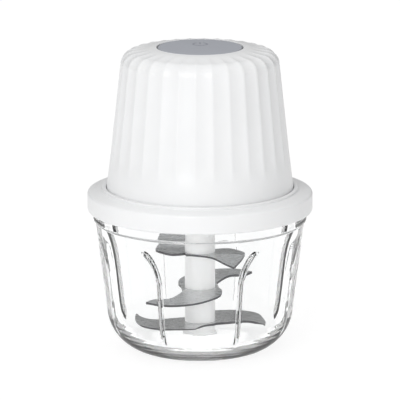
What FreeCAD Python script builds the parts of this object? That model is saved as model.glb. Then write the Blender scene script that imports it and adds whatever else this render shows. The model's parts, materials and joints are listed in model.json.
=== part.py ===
"""Cordless mini food processor: glass bowl, three-tier blade, lid and a fluted motor head.

Millimetres, +Z up. The origin is the centre of the bowl's flat underside, and the front is -Y.
"""

import FreeCAD, Part
import math
import os
import re

import Sketcher

doc = FreeCAD.newDocument("mini_food_processor")

# ---------------------------------------------------------------- driving dimensions

# Each row is an alias, its value in millimetres or degrees, and what it measures.
DIMENSIONS = (
    # bowl
    ("bowl_radius", 53.3, "outside of the wall at the rim bead's lower line"),
    ("bowl_height", 79.7, "base to top of the rim"),
    ("bead_drop", 12.5, "rim top down to the rim bead's lower line"),
    ("bead_bulge", 1.2, "bead beyond the wall"),
    ("bowl_taper", 6.9, "wall's lean from vertical"),
    ("bowl_corner", 22.3, "outer corner between base and wall"),
    ("bowl_wall", 3.0, "glass thickness at the side"),
    ("bowl_floor", 4.5, "glass thickness at the base"),
    ("bowl_inner_corner", 19.0, "inner corner between floor and wall"),
    ("rib_count", 8, "vertical ribs inside the bowl"),
    ("rib_depth", 2.8, "rib crest in from the wall"),
    ("rib_width", 2.8, "thickness of a rib"),
    ("rib_top", 62.0, "height at which a rib runs out into the wall"),
    ("rib_runout", 12.0, "height of the curved run-out"),
    ("boss_radius", 5.0, "glass boss that holds the pivot pin"),
    ("boss_rise", 1.2, "boss above the bowl's floor"),
    ("pin_radius", 2.0, "steel pivot pin"),
    ("pin_seat", 2.9, "depth of the pin in the boss"),
    ("pin_length", 18.2, "pivot pin, end to end"),
    # blade unit
    ("shaft_radius", 7.75, "white sleeve on the blade shaft"),
    ("foot_radius", 8.9, "flange at the foot of the shaft"),
    ("foot_flange", 2.5, "thickness of that flange"),
    ("core_flats", 9.0, "hexagonal core, across flats"),
    ("core_flange_radius", 6.8, "flange that keeps the stack on the core"),
    ("core_flange", 1.2, "thickness of the core's flange"),
    ("lower_blade_level", 8.3, "foot to the lower blade"),
    ("middle_blade_level", 26.0, "foot to the middle blade"),
    ("upper_blade_level", 44.9, "foot to the upper blade"),
    ("blade_thickness", 1.2, "stainless sheet"),
    ("blade_bend", 20.0, "tilt of the bent wings"),
    ("bend_margin", 0.15, "shaft sleeve to the bend line of a wing"),
    ("bush_wall", 1.15, "pivot bush"),
    ("bush_length", 15.2, "pivot bush, end to end"),
    ("journal_radius", 6.0, "top of the shaft inside the lid's bush"),
    ("journal_length", 9.7, "that journal, end to end"),
    ("drive_flats", 6.0, "hexagonal drive, across flats"),
    ("drive_reach", 12.1, "engagement of the drive in its socket"),
    ("socket_radius", 4.6, "steel socket insert"),
    # lid
    ("skirt_drop", 6.9, "rim top down to the lid's lower edge"),
    ("skirt_wall", 2.6, "lid's outer wall"),
    ("skirt_fillet", 2.5, "lower outer edge of the lid"),
    ("edge_rise", 2.8, "rim top up to the lid's upper edge"),
    ("edge_fillet", 1.4, "upper outer edge of the lid"),
    ("face_rise", 1.3, "slope of the lid's face up to the collar"),
    ("collar_rise", 1.3, "collar above the face"),
    ("collar_wall", 2.3, "thickness of the collar"),
    ("lip_wall", 2.6, "ring that reaches down inside the bowl"),
    ("lip_drop", 7.2, "rim top down to the lip's lower edge"),
    ("lip_gap", 1.74, "lip to glass, bridged by the seal"),
    ("seal_height", 2.2, "silicone seal"),
    ("seal_depth", 1.2, "seat of the seal in the lip"),
    ("partition", 1.3, "lid wall between the rim's channel and the head's recess"),
    ("recess_drop", 0.7, "rim top down to the floor of the head's recess"),
    ("lid_plate", 2.4, "lid's floor"),
    ("hub_radius", 10.5, "hub round the shaft"),
    ("hub_rise", 2.4, "hub above the recess floor"),
    ("hub_drop", 7.4, "hub below the recess floor"),
    ("lid_bush_wall", 1.95, "bush between hub and journal"),
    ("magnet_radius", 3.0, "interlock magnet"),
    ("magnet_height", 1.5, "interlock magnet"),
    ("magnet_reach", 40.0, "magnet and its sensor from the axis"),
    # head
    ("head_wall", 2.5, "housing wall"),
    ("head_taper", 6.3, "wall's lean from vertical"),
    ("top_slope", 9.2, "slope of the top face down from the button"),
    ("shoulder", 7.6, "rounded shoulder"),
    ("flute_count", 30, "concave flutes"),
    ("flute_depth", 0.75, "deepest point of a flute"),
    ("flute_phase", 2.8, "angle of the first ridge from +X"),
    ("flute_start", 8.8, "collar to the start of the flutes"),
    ("base_plate", 2.6, "plate that closes the head"),
    ("boss_reach", 39.5, "housing screws from the axis"),
    ("button_radius", 21.36, "power button"),
    ("button_gap", 0.74, "button to housing"),
    ("button_travel", 1.4, "press of the button"),
    ("headroom", 13.4, "cells, or a longer motor, to the top of the housing"),
    # gearbox and motor
    ("gear_module", 0.6, "module of the planetary stage"),
    ("sun_teeth", 12, "teeth on the motor's pinion"),
    ("planet_teeth", 18, "teeth on a planet"),
    ("pressure_angle", 25.0, "of the stub teeth"),
    ("gear_backlash", 0.14, "taken off each tooth at the pitch circle"),
    ("gear_face", 6.0, "width of the planets"),
    ("planet_pin_radius", 1.25, "planet pins"),
    ("gearbox_wall", 1.55, "wall of the gearbox round the ring gear"),
    ("bearing_radius", 8.0, "output bearing, outside"),
    ("bearing_bore", 4.0, "output bearing, inside"),
    ("bearing_height", 4.0, "output bearing"),
    ("motor_radius", 13.85, "motor can"),
    ("motor_length", 33.0, "motor can"),
    ("motor_cap", 5.0, "motor's plastic end cap"),
    ("motor_shaft_radius", 1.15, "motor shaft"),
    ("motor_boss_radius", 5.0, "centring boss of the motor"),
    # battery and electronics
    ("cell_radius", 9.15, "18500 cell"),
    ("cell_length", 49.8, "18500 cell"),
    ("cell_reach", 28.0, "cell's centre from the axis"),
    ("board_thickness", 1.6, "circuit boards"),
    ("board_radius", 30.0, "control board"),
    ("port_width", 8.94, "charging socket"),
    ("port_height", 3.26, "charging socket"),
    ("port_length", 7.3, "charging socket"),
    ("cover_width", 17.4, "silicone cover of the charging socket"),
    ("cover_height", 9.8, "silicone cover of the charging socket"),
    ("flap_thickness", 1.1, "silicone cover of the charging socket"),
    ("spring_wire", 0.4, "radius of the button spring's wire"),
    ("spring_reach", 7.2, "axis to the button spring's wire"),
    # fits and clearances
    ("rest_gap", 0.3, "between pieces that lift apart"),
    ("running_fit", 0.05, "radial clearance of a shaft in its bush"),
    ("fixed_fit", 0.05, "clearance of pieces that are pressed or bonded"),
    ("loose_fit", 0.35, "radial clearance of head and lid"),
)

# Places worked out from the dimensions above: a second sheet, one formula to a row.
LAYOUT = (
    ("bead_line", "bowl_height - bead_drop"),
    ("outer_foot", "bowl_radius - bead_line * tan(bowl_taper)"),
    ("inner_foot", "outer_foot - bowl_wall"),
    ("corner_tuck", "sqrt(1 + tan(bowl_taper) ^ 2) - tan(bowl_taper)"),
    ("flat_radius", "outer_foot - bowl_corner * corner_tuck"),
    ("inner_flat", "inner_foot + bowl_floor * tan(bowl_taper) - bowl_inner_corner * corner_tuck"),
    ("rib_root", "bowl_corner - bowl_wall / 2"),
    ("boss_top", "bowl_floor + boss_rise"),
    ("foot_level", "boss_top + rest_gap"),
    ("lower_blade_bottom", "foot_level + lower_blade_level"),
    ("middle_blade_bottom", "foot_level + middle_blade_level"),
    ("upper_blade_bottom", "foot_level + upper_blade_level"),
    ("blade_bend_line", "shaft_radius + bend_margin"),
    ("lip_bottom", "bowl_height - lip_drop"),
    ("lip_outer", "inner_foot + lip_bottom * tan(bowl_taper) - lip_gap"),
    ("lip_inner", "lip_outer - lip_wall"),
    ("skirt_inner", "bowl_radius + bead_bulge + loose_fit + fixed_fit"),
    ("lid_radius", "skirt_inner + skirt_wall"),
    ("lid_bottom", "bowl_height - skirt_drop"),
    ("lid_edge", "bowl_height + edge_rise"),
    ("collar_foot", "lid_edge + face_rise"),
    ("collar_top", "collar_foot + collar_rise"),
    ("collar_inner", "lip_outer - partition"),
    ("collar_outer", "collar_inner + collar_wall"),
    ("recess_floor", "bowl_height - recess_drop"),
    ("lid_under", "recess_floor - lid_plate"),
    ("hub_top", "recess_floor + hub_rise"),
    ("hub_bottom", "recess_floor - hub_drop"),
    ("hub_bore", "journal_radius + running_fit + lid_bush_wall"),
    ("shaft_top", "hub_top - 0.8"),
    ("shaft_shoulder", "shaft_top - journal_length"),
    ("core_top", "shaft_top - drive_reach - 2.5"),
    ("head_bottom", "recess_floor + rest_gap"),
    ("head_radius", "collar_inner - loose_fit"),
    ("base_top", "head_bottom + base_plate"),
    ("gearbox_bottom", "base_top + 2.1"),
    ("gearbox_floor", "gearbox_bottom + 2.5"),
    ("bearing_bottom", "gearbox_floor + 0.4 - bearing_height"),
    ("carrier_bottom", "gearbox_floor + 0.9"),
    ("carrier_top", "carrier_bottom + 2"),
    ("gear_bottom", "carrier_top + 0.6"),
    ("gear_top", "gear_bottom + gear_face"),
    ("gearbox_top", "gear_top + 2"),
    ("mount_top", "gearbox_top + 2.5"),
    ("motor_top", "mount_top + motor_length"),
    ("motor_cap_top", "motor_top + motor_cap"),
    ("ring_teeth", "sun_teeth + 2 * planet_teeth"),
    ("planet_reach", "gear_module * (sun_teeth + planet_teeth) / 2"),
    ("ring_outer", "gear_module * (ring_teeth / 2 + 3.6)"),
    ("gearbox_radius", "ring_outer + fixed_fit + gearbox_wall"),
    ("cell_bottom", "gearbox_floor + 7.5"),
    ("cell_top", "cell_bottom + cell_length"),
    ("head_top", "max(cell_top; motor_cap_top + 1.2) + headroom"),
    ("opening_radius", "button_radius + button_gap"),
    ("board_top", "head_top - 9.4"),
    ("board_bottom", "board_top - board_thickness"),
    ("carrier_plate_bottom", "board_bottom - 1.2"),
    # meridian of the housing: two tangent lines and the shoulder's centre
    ("wall_offset", "head_radius * cos(head_taper) + collar_top * sin(head_taper)"),
    ("face_offset", "opening_radius * sin(top_slope) + head_top * cos(top_slope)"),
    ("wall_inset", "wall_offset - shoulder"),
    ("face_inset", "face_offset - shoulder"),
    ("spread", "cos(head_taper + top_slope)"),
    ("shoulder_radius", "(wall_inset * cos(top_slope) - face_inset * sin(head_taper)) / spread"),
    ("shoulder_level", "(face_inset * cos(head_taper) - wall_inset * sin(top_slope)) / spread"),
    ("wall_top_level", "shoulder_level + shoulder * sin(head_taper)"),
    ("inner_shoulder", "shoulder - head_wall"),
    ("port_level", "gearbox_floor + 20.5"),
    ("port_plane", "head_radius - (port_level - collar_top) * tan(head_taper) - 1.3"),
    ("board_face", "port_plane - 1.3 - port_length"),
)


def fill_sheet(name, rows):
    """A spreadsheet with one alias to a row: the word, its value or formula, and a note."""
    new_sheet = doc.addObject("Spreadsheet::Sheet", name)
    for number, row in enumerate(rows, start=1):
        alias, value = row[:2]
        new_sheet.set(f"A{number}", alias)
        new_sheet.set(f"B{number}", str(value))
        new_sheet.setAlias(f"B{number}", alias)
        if len(row) > 2:
            new_sheet.set(f"C{number}", row[2])
    return new_sheet


SHEET_OF = {row[0]: "Dimensions" for row in DIMENSIONS}
SHEET_OF |= {row[0]: "Layout" for row in LAYOUT}
WORD = re.compile(r"[a-z][a-z_]*")


def spelled(expression, home=""):
    """The expression with each alias written with the name of its sheet."""

    def full_name(word):
        sheet_name = SHEET_OF.get(word.group())
        if sheet_name in (None, home):
            return word.group()
        return f"{sheet_name}.{word.group()}"

    return WORD.sub(full_name, str(expression))


sheet = fill_sheet("Dimensions", DIMENSIONS)
layout = fill_sheet("Layout", [(alias, "=" + spelled(formula, "Layout")) for alias, formula in LAYOUT])
doc.recompute()


def value(expression):
    """The number that an expression of aliases gives now."""
    return float(layout.evalExpression(spelled(expression, "Layout")))


# ---------------------------------------------------------------- construction helpers

FULL_TURN = 360
ORIGIN = FreeCAD.Vector(0, 0, 0)
UP = FreeCAD.Vector(0, 0, 1)
nodes = []


def bind(thing, name, expression):
    """Ties one property of a document object to the sheets."""
    thing.setExpression(name, spelled(expression))


def place(thing, across, along, level, turn=0):
    """Ties an object's place to the sheets, turned about +Z by a plain angle."""
    thing.Placement = FreeCAD.Placement(ORIGIN, FreeCAD.Rotation(UP, turn))
    bind(thing, "Placement.Base.x", across)
    bind(thing, "Placement.Base.y", along)
    bind(thing, "Placement.Base.z", level)


def node(thing, label):
    """Marks an object as a sub-part, which is written to a file of its label."""
    thing.Label = label
    nodes.append(thing)
    return thing


def cylinder(name, radius, bottom, top, across=0, along=0):
    solid = doc.addObject("Part::Cylinder", name)
    bind(solid, "Radius", radius)
    bind(solid, "Height", f"({top}) - ({bottom})")
    place(solid, across, along, bottom)
    return solid


def cone(name, lower_radius, upper_radius, bottom, top):
    solid = doc.addObject("Part::Cone", name)
    bind(solid, "Radius1", lower_radius)
    bind(solid, "Radius2", upper_radius)
    bind(solid, "Height", f"({top}) - ({bottom})")
    place(solid, 0, 0, bottom)
    return solid


def box(name, left, right, front, back, bottom, top):
    solid = doc.addObject("Part::Box", name)
    bind(solid, "Length", f"({right}) - ({left})")
    bind(solid, "Width", f"({back}) - ({front})")
    bind(solid, "Height", f"({top}) - ({bottom})")
    place(solid, left, front, bottom)
    return solid


def hexagon(name, flats, bottom, top):
    """A hexagonal bar on the axis, by its size across flats."""
    solid = doc.addObject("Part::Prism", name)
    solid.Polygon = 6
    bind(solid, "Circumradius", f"({flats}) / 2 / cos(30)")
    bind(solid, "Height", f"({top}) - ({bottom})")
    place(solid, 0, 0, bottom)
    return solid


def fuse(name, *solids):
    joined = doc.addObject("Part::MultiFuse", name)
    joined.Shapes = list(solids)
    joined.Refine = True
    return joined


def cut(name, base, *tools):
    result = doc.addObject("Part::Cut", name)
    result.Base = base
    result.Tool = tools[0] if len(tools) == 1 else fuse(name + "_tools", *tools)
    result.Refine = True
    return result


def group(name, solids):
    """Separate identical solids that share one node."""
    bundle = doc.addObject("Part::Compound", name)
    bundle.Links = list(solids)
    return bundle


def tube(name, outer, inner, bottom, top, across=0, along=0):
    wall = cylinder(name + "_outside", outer, bottom, top, across, along)
    bore = cylinder(name + "_bore", inner, f"({bottom}) - 1", f"({top}) + 1", across, along)
    return cut(name, wall, bore)


def ring_places(count, reach, first=0.0):
    """Expressions for places spaced evenly on a circle."""
    step = FULL_TURN / count
    angles = [first + step * index for index in range(count)]
    return [(f"({reach}) * cos({angle})", f"({reach}) * sin({angle})") for angle in angles]


def outline(body, plane_role, name, points):
    """A closed sketch. A point is (x, y), or (x, y, radius) where an arc leads on to the next.

    A positive radius turns left along the outline, and a negative one turns right.
    """
    sketch = body.newObject("Sketcher::SketchObject", name)
    plane = [feature for feature in body.Origin.OriginFeatures if feature.Role == plane_role]
    sketch.AttachmentSupport = [(plane[0], "")]
    sketch.MapMode = "FlatFace"
    corners = [FreeCAD.Vector(value(point[0]), value(point[1]), 0) for point in points]
    start_of = []
    for index, point in enumerate(points):
        here = corners[index]
        following = corners[(index + 1) % len(points)]
        if len(point) == 2:
            sketch.addGeometry(Part.LineSegment(here, following), False)
            start_of.append(1)
            continue
        turn = value(point[2])
        chord = following - here
        rise = math.sqrt(turn * turn - chord.Length ** 2 / 4)
        left = FreeCAD.Vector(-chord.y, chord.x, 0).normalize()
        centre = (here + following) / 2 + left * math.copysign(rise, turn)
        first, last = (here, following) if turn > 0 else (following, here)
        first_angle = math.atan2(first.y - centre.y, first.x - centre.x)
        last_angle = math.atan2(last.y - centre.y, last.x - centre.x)
        circle = Part.Circle(centre, UP, abs(turn))
        sketch.addGeometry(Part.ArcOfCircle(circle, first_angle, last_angle), False)
        start_of.append(1 if turn > 0 else 2)
    for index, point in enumerate(points):
        following = (index + 1) % len(points)
        joint = (index, 3 - start_of[index], following, start_of[following])
        sketch.addConstraint(Sketcher.Constraint("Coincident", *joint))
    for index, point in enumerate(points):
        for kind, measure, distance in (
            ("DistanceX", point[0], corners[index].x),
            ("DistanceY", point[1], corners[index].y),
        ):
            constraint = Sketcher.Constraint(kind, index, start_of[index], distance)
            number = sketch.addConstraint(constraint)
            if SHEET_OF.keys() & set(WORD.findall(str(measure))):
                sketch.setExpression(f"Constraints[{number}]", spelled(measure))
        if len(point) == 3:
            number = sketch.addConstraint(Sketcher.Constraint("Radius", index, abs(value(point[2]))))
            sketch.setExpression(f"Constraints[{number}]", spelled(str(point[2]).lstrip("-")))
    return sketch


def turned(name, points):
    """A body of revolution about Z, from an outline of (radius, height) points."""
    body = doc.addObject("PartDesign::Body", name)
    sketch = outline(body, "XZ_Plane", name + "_section", points)
    turn = body.newObject("PartDesign::Revolution", name + "_turn")
    turn.Profile = sketch
    turn.ReferenceAxis = (sketch, ["V_Axis"])
    turn.Angle = FULL_TURN
    return body


def screws(name, places, seat, length, shank, head_radius, head_height):
    """Pan-head screws, heads up on the seat, with a recess for the driver."""
    solids = []
    for index, (across, along) in enumerate(places):
        own = f"{name}_{index + 1}"
        pin = cylinder(own + "_shank", shank, f"({seat}) - {length}", seat, across, along)
        head = cylinder(own + "_head", head_radius, seat, f"({seat}) + {head_height}", across, along)
        half = f"{head_radius} * 0.5"
        recess = box(own + "_recess", f"({across}) - {half}", f"({across}) + {half}",
                     f"({along}) - 0.3", f"({along}) + 0.3",
                     f"({seat}) + {head_height} * 0.45", f"({seat}) + {head_height} + 1")
        solids.append(cut(own, fuse(own + "_blank", pin, head), recess))
    return node(group(name, solids), name)


def straight_solid(name, shape):
    """A sub-shape that only code can draw."""
    feature = doc.addObject("Part::Feature", name)
    feature.Shape = shape
    return feature


# ---------------------------------------------------------------- bowl

def make_bowl():
    body = turned("glass_bowl", (
        (0, 0),
        ("flat_radius", 0, "bowl_corner"),
        ("flat_radius + bowl_corner * cos(bowl_taper)", "bowl_corner * (1 - sin(bowl_taper))"),
        ("bowl_radius", "bead_line"),
        ("bowl_radius + bead_bulge", "bead_line + bead_bulge"),
        ("bowl_radius + bead_bulge", "bowl_height - 0.8", 0.8),
        ("bowl_radius + bead_bulge - 0.8", "bowl_height"),
        ("inner_foot + bowl_height * tan(bowl_taper)", "bowl_height"),
        ("inner_flat + bowl_inner_corner * cos(bowl_taper)",
         "bowl_floor + bowl_inner_corner * (1 - sin(bowl_taper))", "-bowl_inner_corner"),
        ("inner_flat", "bowl_floor"),
        ("boss_radius", "bowl_floor"),
        ("boss_radius", "boss_top"),
        ("pin_radius + fixed_fit", "boss_top"),
        ("pin_radius + fixed_fit", "boss_top - pin_seat"),
        (0, "boss_top - pin_seat"),
    ))
    rib_sketch = outline(body, "XZ_Plane", "rib_section", (
        ("inner_foot + bowl_corner * tan(bowl_taper) - rib_depth", "bowl_corner"),
        ("inner_foot + (rib_top - rib_runout) * tan(bowl_taper) - rib_depth", "rib_top - rib_runout",
         "-(rib_runout + 3)"),
        ("inner_foot + rib_top * tan(bowl_taper) + 0.8", "rib_top"),
        ("flat_radius + rib_root * cos(15)", "bowl_corner - rib_root * sin(15)"),
        ("flat_radius + rib_root * cos(45)", "bowl_corner - rib_root * sin(45)"),
    ))
    rib = body.newObject("PartDesign::Pad", "rib")
    rib.Profile = rib_sketch
    bind(rib, "Length", "rib_width")
    rib.SideType = "Symmetric"
    ribs = body.newObject("PartDesign::PolarPattern", "ribs")
    ribs.Originals = [rib]
    ribs.Axis = (rib_sketch, ["V_Axis"])
    ribs.Angle = FULL_TURN
    bind(ribs, "Occurrences", "rib_count")
    body.Tip = ribs
    body.Placement = FreeCAD.Placement(ORIGIN, FreeCAD.Rotation(UP, FULL_TURN / value("rib_count") / 2))
    node(body, "bowl")


def make_pivot_pin():
    node(turned("pin", (
        (0, "boss_top - pin_seat"),
        ("pin_radius", "boss_top - pin_seat"),
        ("pin_radius", "boss_top - pin_seat + pin_length - 0.6"),
        ("pin_radius - 0.6", "boss_top - pin_seat + pin_length"),
        (0, "boss_top - pin_seat + pin_length"),
    )), "pivot_pin")


# ---------------------------------------------------------------- blade unit

def key_hole(name, bottom, top):
    """The hexagonal hole that keys a piece to the core."""
    return hexagon(name, "core_flats + 2 * fixed_fit", bottom, top)


def make_shaft_core():
    bar = hexagon("core_bar", "core_flats", "foot_level", "core_top")
    flange = cylinder("core_flange_disc", "core_flange_radius", "foot_level", "foot_level + core_flange")
    bore = cylinder("core_bore", "pin_radius + running_fit + bush_wall + fixed_fit",
                    "foot_level - 1", "foot_level + bush_length + 0.7")
    node(cut("core", fuse("core_blank", bar, flange), bore), "shaft_core")
    node(tube("bush", "pin_radius + running_fit + bush_wall", "pin_radius + running_fit",
              "foot_level + 0.2", "foot_level + 0.2 + bush_length"), "pivot_bush")


def make_sleeves():
    foot = turned("foot_blank", (
        ("core_flange_radius + fixed_fit", "foot_level"),
        ("foot_radius - 0.6", "foot_level"),
        ("foot_radius", "foot_level + 0.6"),
        ("foot_radius", "foot_level + foot_flange - 0.5", 0.5),
        ("foot_radius - 0.5", "foot_level + foot_flange"),
        ("shaft_radius", "foot_level + foot_flange"),
        ("shaft_radius", "lower_blade_bottom"),
        (0, "lower_blade_bottom"),
        (0, "foot_level + core_flange + fixed_fit"),
        ("core_flange_radius + fixed_fit", "foot_level + core_flange + fixed_fit"),
    ))
    node(cut("foot", foot, key_hole("foot_key", "foot_level - 1", "lower_blade_bottom + 1")), "foot_sleeve")
    for name, below, above in (("lower", "lower_blade_bottom", "middle_blade_bottom"),
                               ("upper", "middle_blade_bottom", "upper_blade_bottom")):
        bottom = f"{below} + blade_thickness"
        blank = cylinder(name + "_sleeve_blank", "shaft_radius", bottom, above)
        key = key_hole(name + "_sleeve_key", f"{bottom} - 1", f"{above} + 1")
        node(cut(name + "_spacer", blank, key), name + "_sleeve")
    bottom = "upper_blade_bottom + blade_thickness"
    blank = turned("top_blank", (
        (0, bottom),
        ("shaft_radius", bottom),
        ("shaft_radius", "shaft_shoulder - 0.5", 0.5),
        ("shaft_radius - 0.5", "shaft_shoulder"),
        (0, "shaft_shoulder"),
    ))
    key = key_hole("top_key", f"{bottom} - 1", "core_top + fixed_fit")
    seat = cylinder("socket_seat", "socket_radius + fixed_fit", "core_top + 1", "shaft_shoulder + 1")
    node(cut("top", blank, key, seat), "top_sleeve")


def make_shaft_journal():
    """The plastic ring round the socket, which turns in the lid's bush."""
    ring = turned("journal_ring", (
        ("socket_radius + fixed_fit", "shaft_shoulder"),
        ("journal_radius", "shaft_shoulder"),
        ("journal_radius", "shaft_top - 0.5"),
        ("journal_radius - 0.5", "shaft_top"),
        ("socket_radius + fixed_fit", "shaft_top"),
    ))
    node(ring, "shaft_journal")


def make_drive_socket():
    blank = cylinder("socket_blank", "socket_radius", "core_top + 1", "shaft_top")
    hole = hexagon("socket_hole", "drive_flats + 2 * running_fit + 0.1", "core_top + 2", "shaft_top + 1")
    node(cut("socket", blank, hole), "drive_socket")


def curve_through(points):
    spline = Part.BSplineCurve()
    spline.interpolate([FreeCAD.Vector(x, y, 0) for x, y in points])
    return spline.toShape()


def blade_face(back_edge, outer_edge):
    """The flat outline of a blade: one wing's two edges, and the same turned half a turn.

    back_edge runs from the hub out to the tip, and outer_edge from the tip back to the hub.
    """
    edges = []
    for turn in (1, -1):
        back = [(turn * x, turn * y) for x, y in back_edge]
        outer = [(turn * x, turn * y) for x, y in outer_edge]
        edges.append(curve_through(back))
        edges.append(curve_through(outer))
        hub_end = FreeCAD.Vector(*outer[-1], 0)
        next_start = FreeCAD.Vector(-back[0][0], -back[0][1], 0)
        edges.append(Part.makeLine(hub_end, next_start))
    return Part.Face(Part.Wire(edges))


def make_blade(name, level, back_edge, outer_edge, bend):
    """A pressed blade. bend is the tilt of its wings: down at the front and up at the back."""
    face = blade_face(back_edge, outer_edge)
    face.translate(FreeCAD.Vector(0, 0, -40))
    column = straight_solid(name + "_plan", face.extrude(FreeCAD.Vector(0, 0, 80)))
    bind(column, "Placement.Base.z", level)
    reach = 60
    lean = f"({reach} - blade_bend_line) * tan({bend})"
    strip = doc.addObject("PartDesign::Body", name + "_strip")
    side = outline(strip, "YZ_Plane", name + "_side", (
        (-reach, f"{level} - {lean}"),
        ("-blade_bend_line", level),
        ("blade_bend_line", level),
        (reach, f"{level} + {lean}"),
        (reach, f"{level} + {lean} + blade_thickness"),
        ("blade_bend_line", f"{level} + blade_thickness"),
        ("-blade_bend_line", f"{level} + blade_thickness"),
        (-reach, f"{level} - {lean} + blade_thickness"),
    ))
    sheet_metal = strip.newObject("PartDesign::Pad", name + "_sheet")
    sheet_metal.Profile = side
    sheet_metal.Length = 2 * reach
    sheet_metal.SideType = "Symmetric"
    pressed = doc.addObject("Part::MultiCommon", name + "_pressed")
    pressed.Shapes = [column, strip]
    key = key_hole(name + "_key", f"{level} - 2", f"{level} + blade_thickness + 2")
    node(cut(name + "_cut", pressed, key), name)


def make_blades():
    make_blade(
        "lower_blade", "lower_blade_bottom",
        ((-8.2, 6.1), (-15.8, 3.6), (-24.0, 1.5), (-28.4, 4.4), (-33.0, 13.8)),
        ((-33.0, 13.8), (-33.5, 6.0), (-32.4, -4.0), (-29.6, -15.3), (-19.9, -22.0), (-8.2, -21.5),
         (-2.6, -18.9), (0.0, -13.8), (7.4, -7.2)),
        "0",
    )
    make_blade(
        "middle_blade", "middle_blade_bottom",
        ((-8.6, -8.6), (-12.0, -12.6), (-15.8, -15.3), (-22.5, -15.8), (-27.1, -18.4)),
        ((-27.1, -18.4), (-19.7, -20.7), (-8.7, -20.7), (0.8, -18.2), (6.3, -15.3),
         (10.2, -12.1), (11.2, -8.7), (9.8, -2.6)),
        "blade_bend",
    )
    make_blade(
        "upper_blade", "upper_blade_bottom",
        ((7.6, 4.6), (14.6, 6.5), (19.3, 2.0), (22.6, -3.6), (20.3, -13.4), (16.9, -19.2)),
        ((16.9, -19.2), (12.4, -15.8), (6.3, -10.6), (-0.9, -8.6), (-7.0, -7.4)),
        "blade_bend",
    )


# ---------------------------------------------------------------- lid

def make_lid():
    seal_bottom = "lip_bottom + 1.1"
    blank = turned("lid_blank", (
        ("skirt_inner", "lid_bottom"),
        ("lid_radius - skirt_fillet", "lid_bottom", "skirt_fillet"),
        ("lid_radius", "lid_bottom + skirt_fillet"),
        ("lid_radius", "lid_edge - edge_fillet", "edge_fillet"),
        ("lid_radius - edge_fillet", "lid_edge"),
        ("collar_outer", "collar_foot"),
        ("collar_outer", "collar_top - 1", 1),
        ("collar_outer - 1", "collar_top"),
        ("collar_inner + 0.8", "collar_top", 0.8),
        ("collar_inner", "collar_top - 0.8"),
        ("collar_inner", "recess_floor"),
        ("hub_radius", "recess_floor"),
        ("hub_radius", "hub_top"),
        ("hub_bore", "hub_top"),
        ("hub_bore", "hub_bottom"),
        ("hub_radius - 0.8", "hub_bottom"),
        ("hub_radius", "lid_under"),
        ("lip_inner", "lid_under"),
        ("lip_inner", "lip_bottom"),
        ("lip_outer", "lip_bottom"),
        ("lip_outer", seal_bottom),
        ("lip_outer - seal_depth", seal_bottom),
        ("lip_outer - seal_depth", f"{seal_bottom} + seal_height"),
        ("lip_outer", f"{seal_bottom} + seal_height"),
        ("lip_outer", "bowl_height + rest_gap"),
        ("skirt_inner", "bowl_height + rest_gap"),
    ))
    pocket = cylinder("magnet_pocket", "magnet_radius + fixed_fit", "recess_floor - magnet_height - 0.1",
                      "recess_floor + 1", 0, "-magnet_reach")
    node(cut("lid_cut", blank, pocket), "lid")
    node(cylinder("magnet", "magnet_radius", "recess_floor - magnet_height - 0.1",
                  "recess_floor - 0.1", 0, "-magnet_reach"), "interlock_magnet")
    glass = f"inner_foot + ({seal_bottom}) * tan(bowl_taper) - rest_gap"
    node(turned("seal", (
        ("lip_outer - seal_depth", seal_bottom),
        ("lip_outer", seal_bottom),
        (glass, f"{seal_bottom} + 0.7"),
        (glass, f"{seal_bottom} + seal_height - 0.7"),
        ("lip_outer", f"{seal_bottom} + seal_height"),
        ("lip_outer - seal_depth", f"{seal_bottom} + seal_height"),
    )), "bowl_seal")
    node(tube("shaft_bush", "hub_bore - fixed_fit", "journal_radius + running_fit",
              "hub_bottom + 0.3", "hub_top - 0.3"), "lid_bush")


# ---------------------------------------------------------------- head: housing

def meridian_points():
    """(radius, height, outward normal, flute depth) along the fluted part of the housing."""
    taper = math.radians(value("head_taper"))
    slope = math.radians(value("top_slope"))
    deepest = value("flute_depth")
    start = value("collar_top + flute_start")
    wall_top = value("wall_top_level")
    wall_normal = FreeCAD.Vector(math.cos(taper), 0, math.sin(taper))

    def on_wall(height, depth):
        radius = value("head_radius") - (height - value("collar_top")) * math.tan(taper)
        return FreeCAD.Vector(radius, 0, height), wall_normal, depth

    def on_shoulder(angle, depth):
        normal = FreeCAD.Vector(math.cos(angle), 0, math.sin(angle))
        centre = FreeCAD.Vector(value("shoulder_radius"), 0, value("shoulder_level"))
        return centre + normal * value("shoulder"), normal, depth

    def on_face(radius, depth):
        height = value("head_top") - (radius - value("opening_radius")) * math.tan(slope)
        return FreeCAD.Vector(radius, 0, height), FreeCAD.Vector(math.sin(slope), 0, math.cos(slope)), depth

    face_edge = value("shoulder_radius") + value("shoulder") * math.sin(slope)
    face_end = value("opening_radius") + 2.6
    quarter = math.pi / 2
    return [
        on_wall(start, 0),
        on_wall(start + 3, deepest * 0.35),
        on_wall(start + 7, deepest * 0.9),
        on_wall(start + 12, deepest),
        on_wall((start + wall_top) / 2 + 6, deepest),
        on_wall(wall_top - 4, deepest),
        on_shoulder(taper, deepest),
        on_shoulder(taper + (quarter - slope - taper) * 0.35, deepest * 0.95),
        on_shoulder(taper + (quarter - slope - taper) * 0.7, deepest * 0.8),
        on_shoulder(quarter - slope, deepest * 0.6),
        on_face((face_edge + face_end) / 2, deepest * 0.25),
        on_face(face_end, 0),
    ]


def flute_ring(point, normal, depth):
    """One closed ring of arcs round the axis, ridge to valley to ridge."""
    count = int(value("flute_count"))
    half_step = 180 / count
    phase = value("flute_phase")

    def at(angle, inset):
        turn = FreeCAD.Rotation(UP, angle)
        return turn.multVec(point - normal * inset)

    edges = []
    for index in range(count):
        ridge = phase + 2 * half_step * index
        next_ridge = ridge + 2 * half_step
        arc = Part.Arc(at(ridge, 0), at(ridge + half_step, depth), at(next_ridge, 0))
        edges.append(arc.toShape())
    return Part.Wire(edges)


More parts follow.
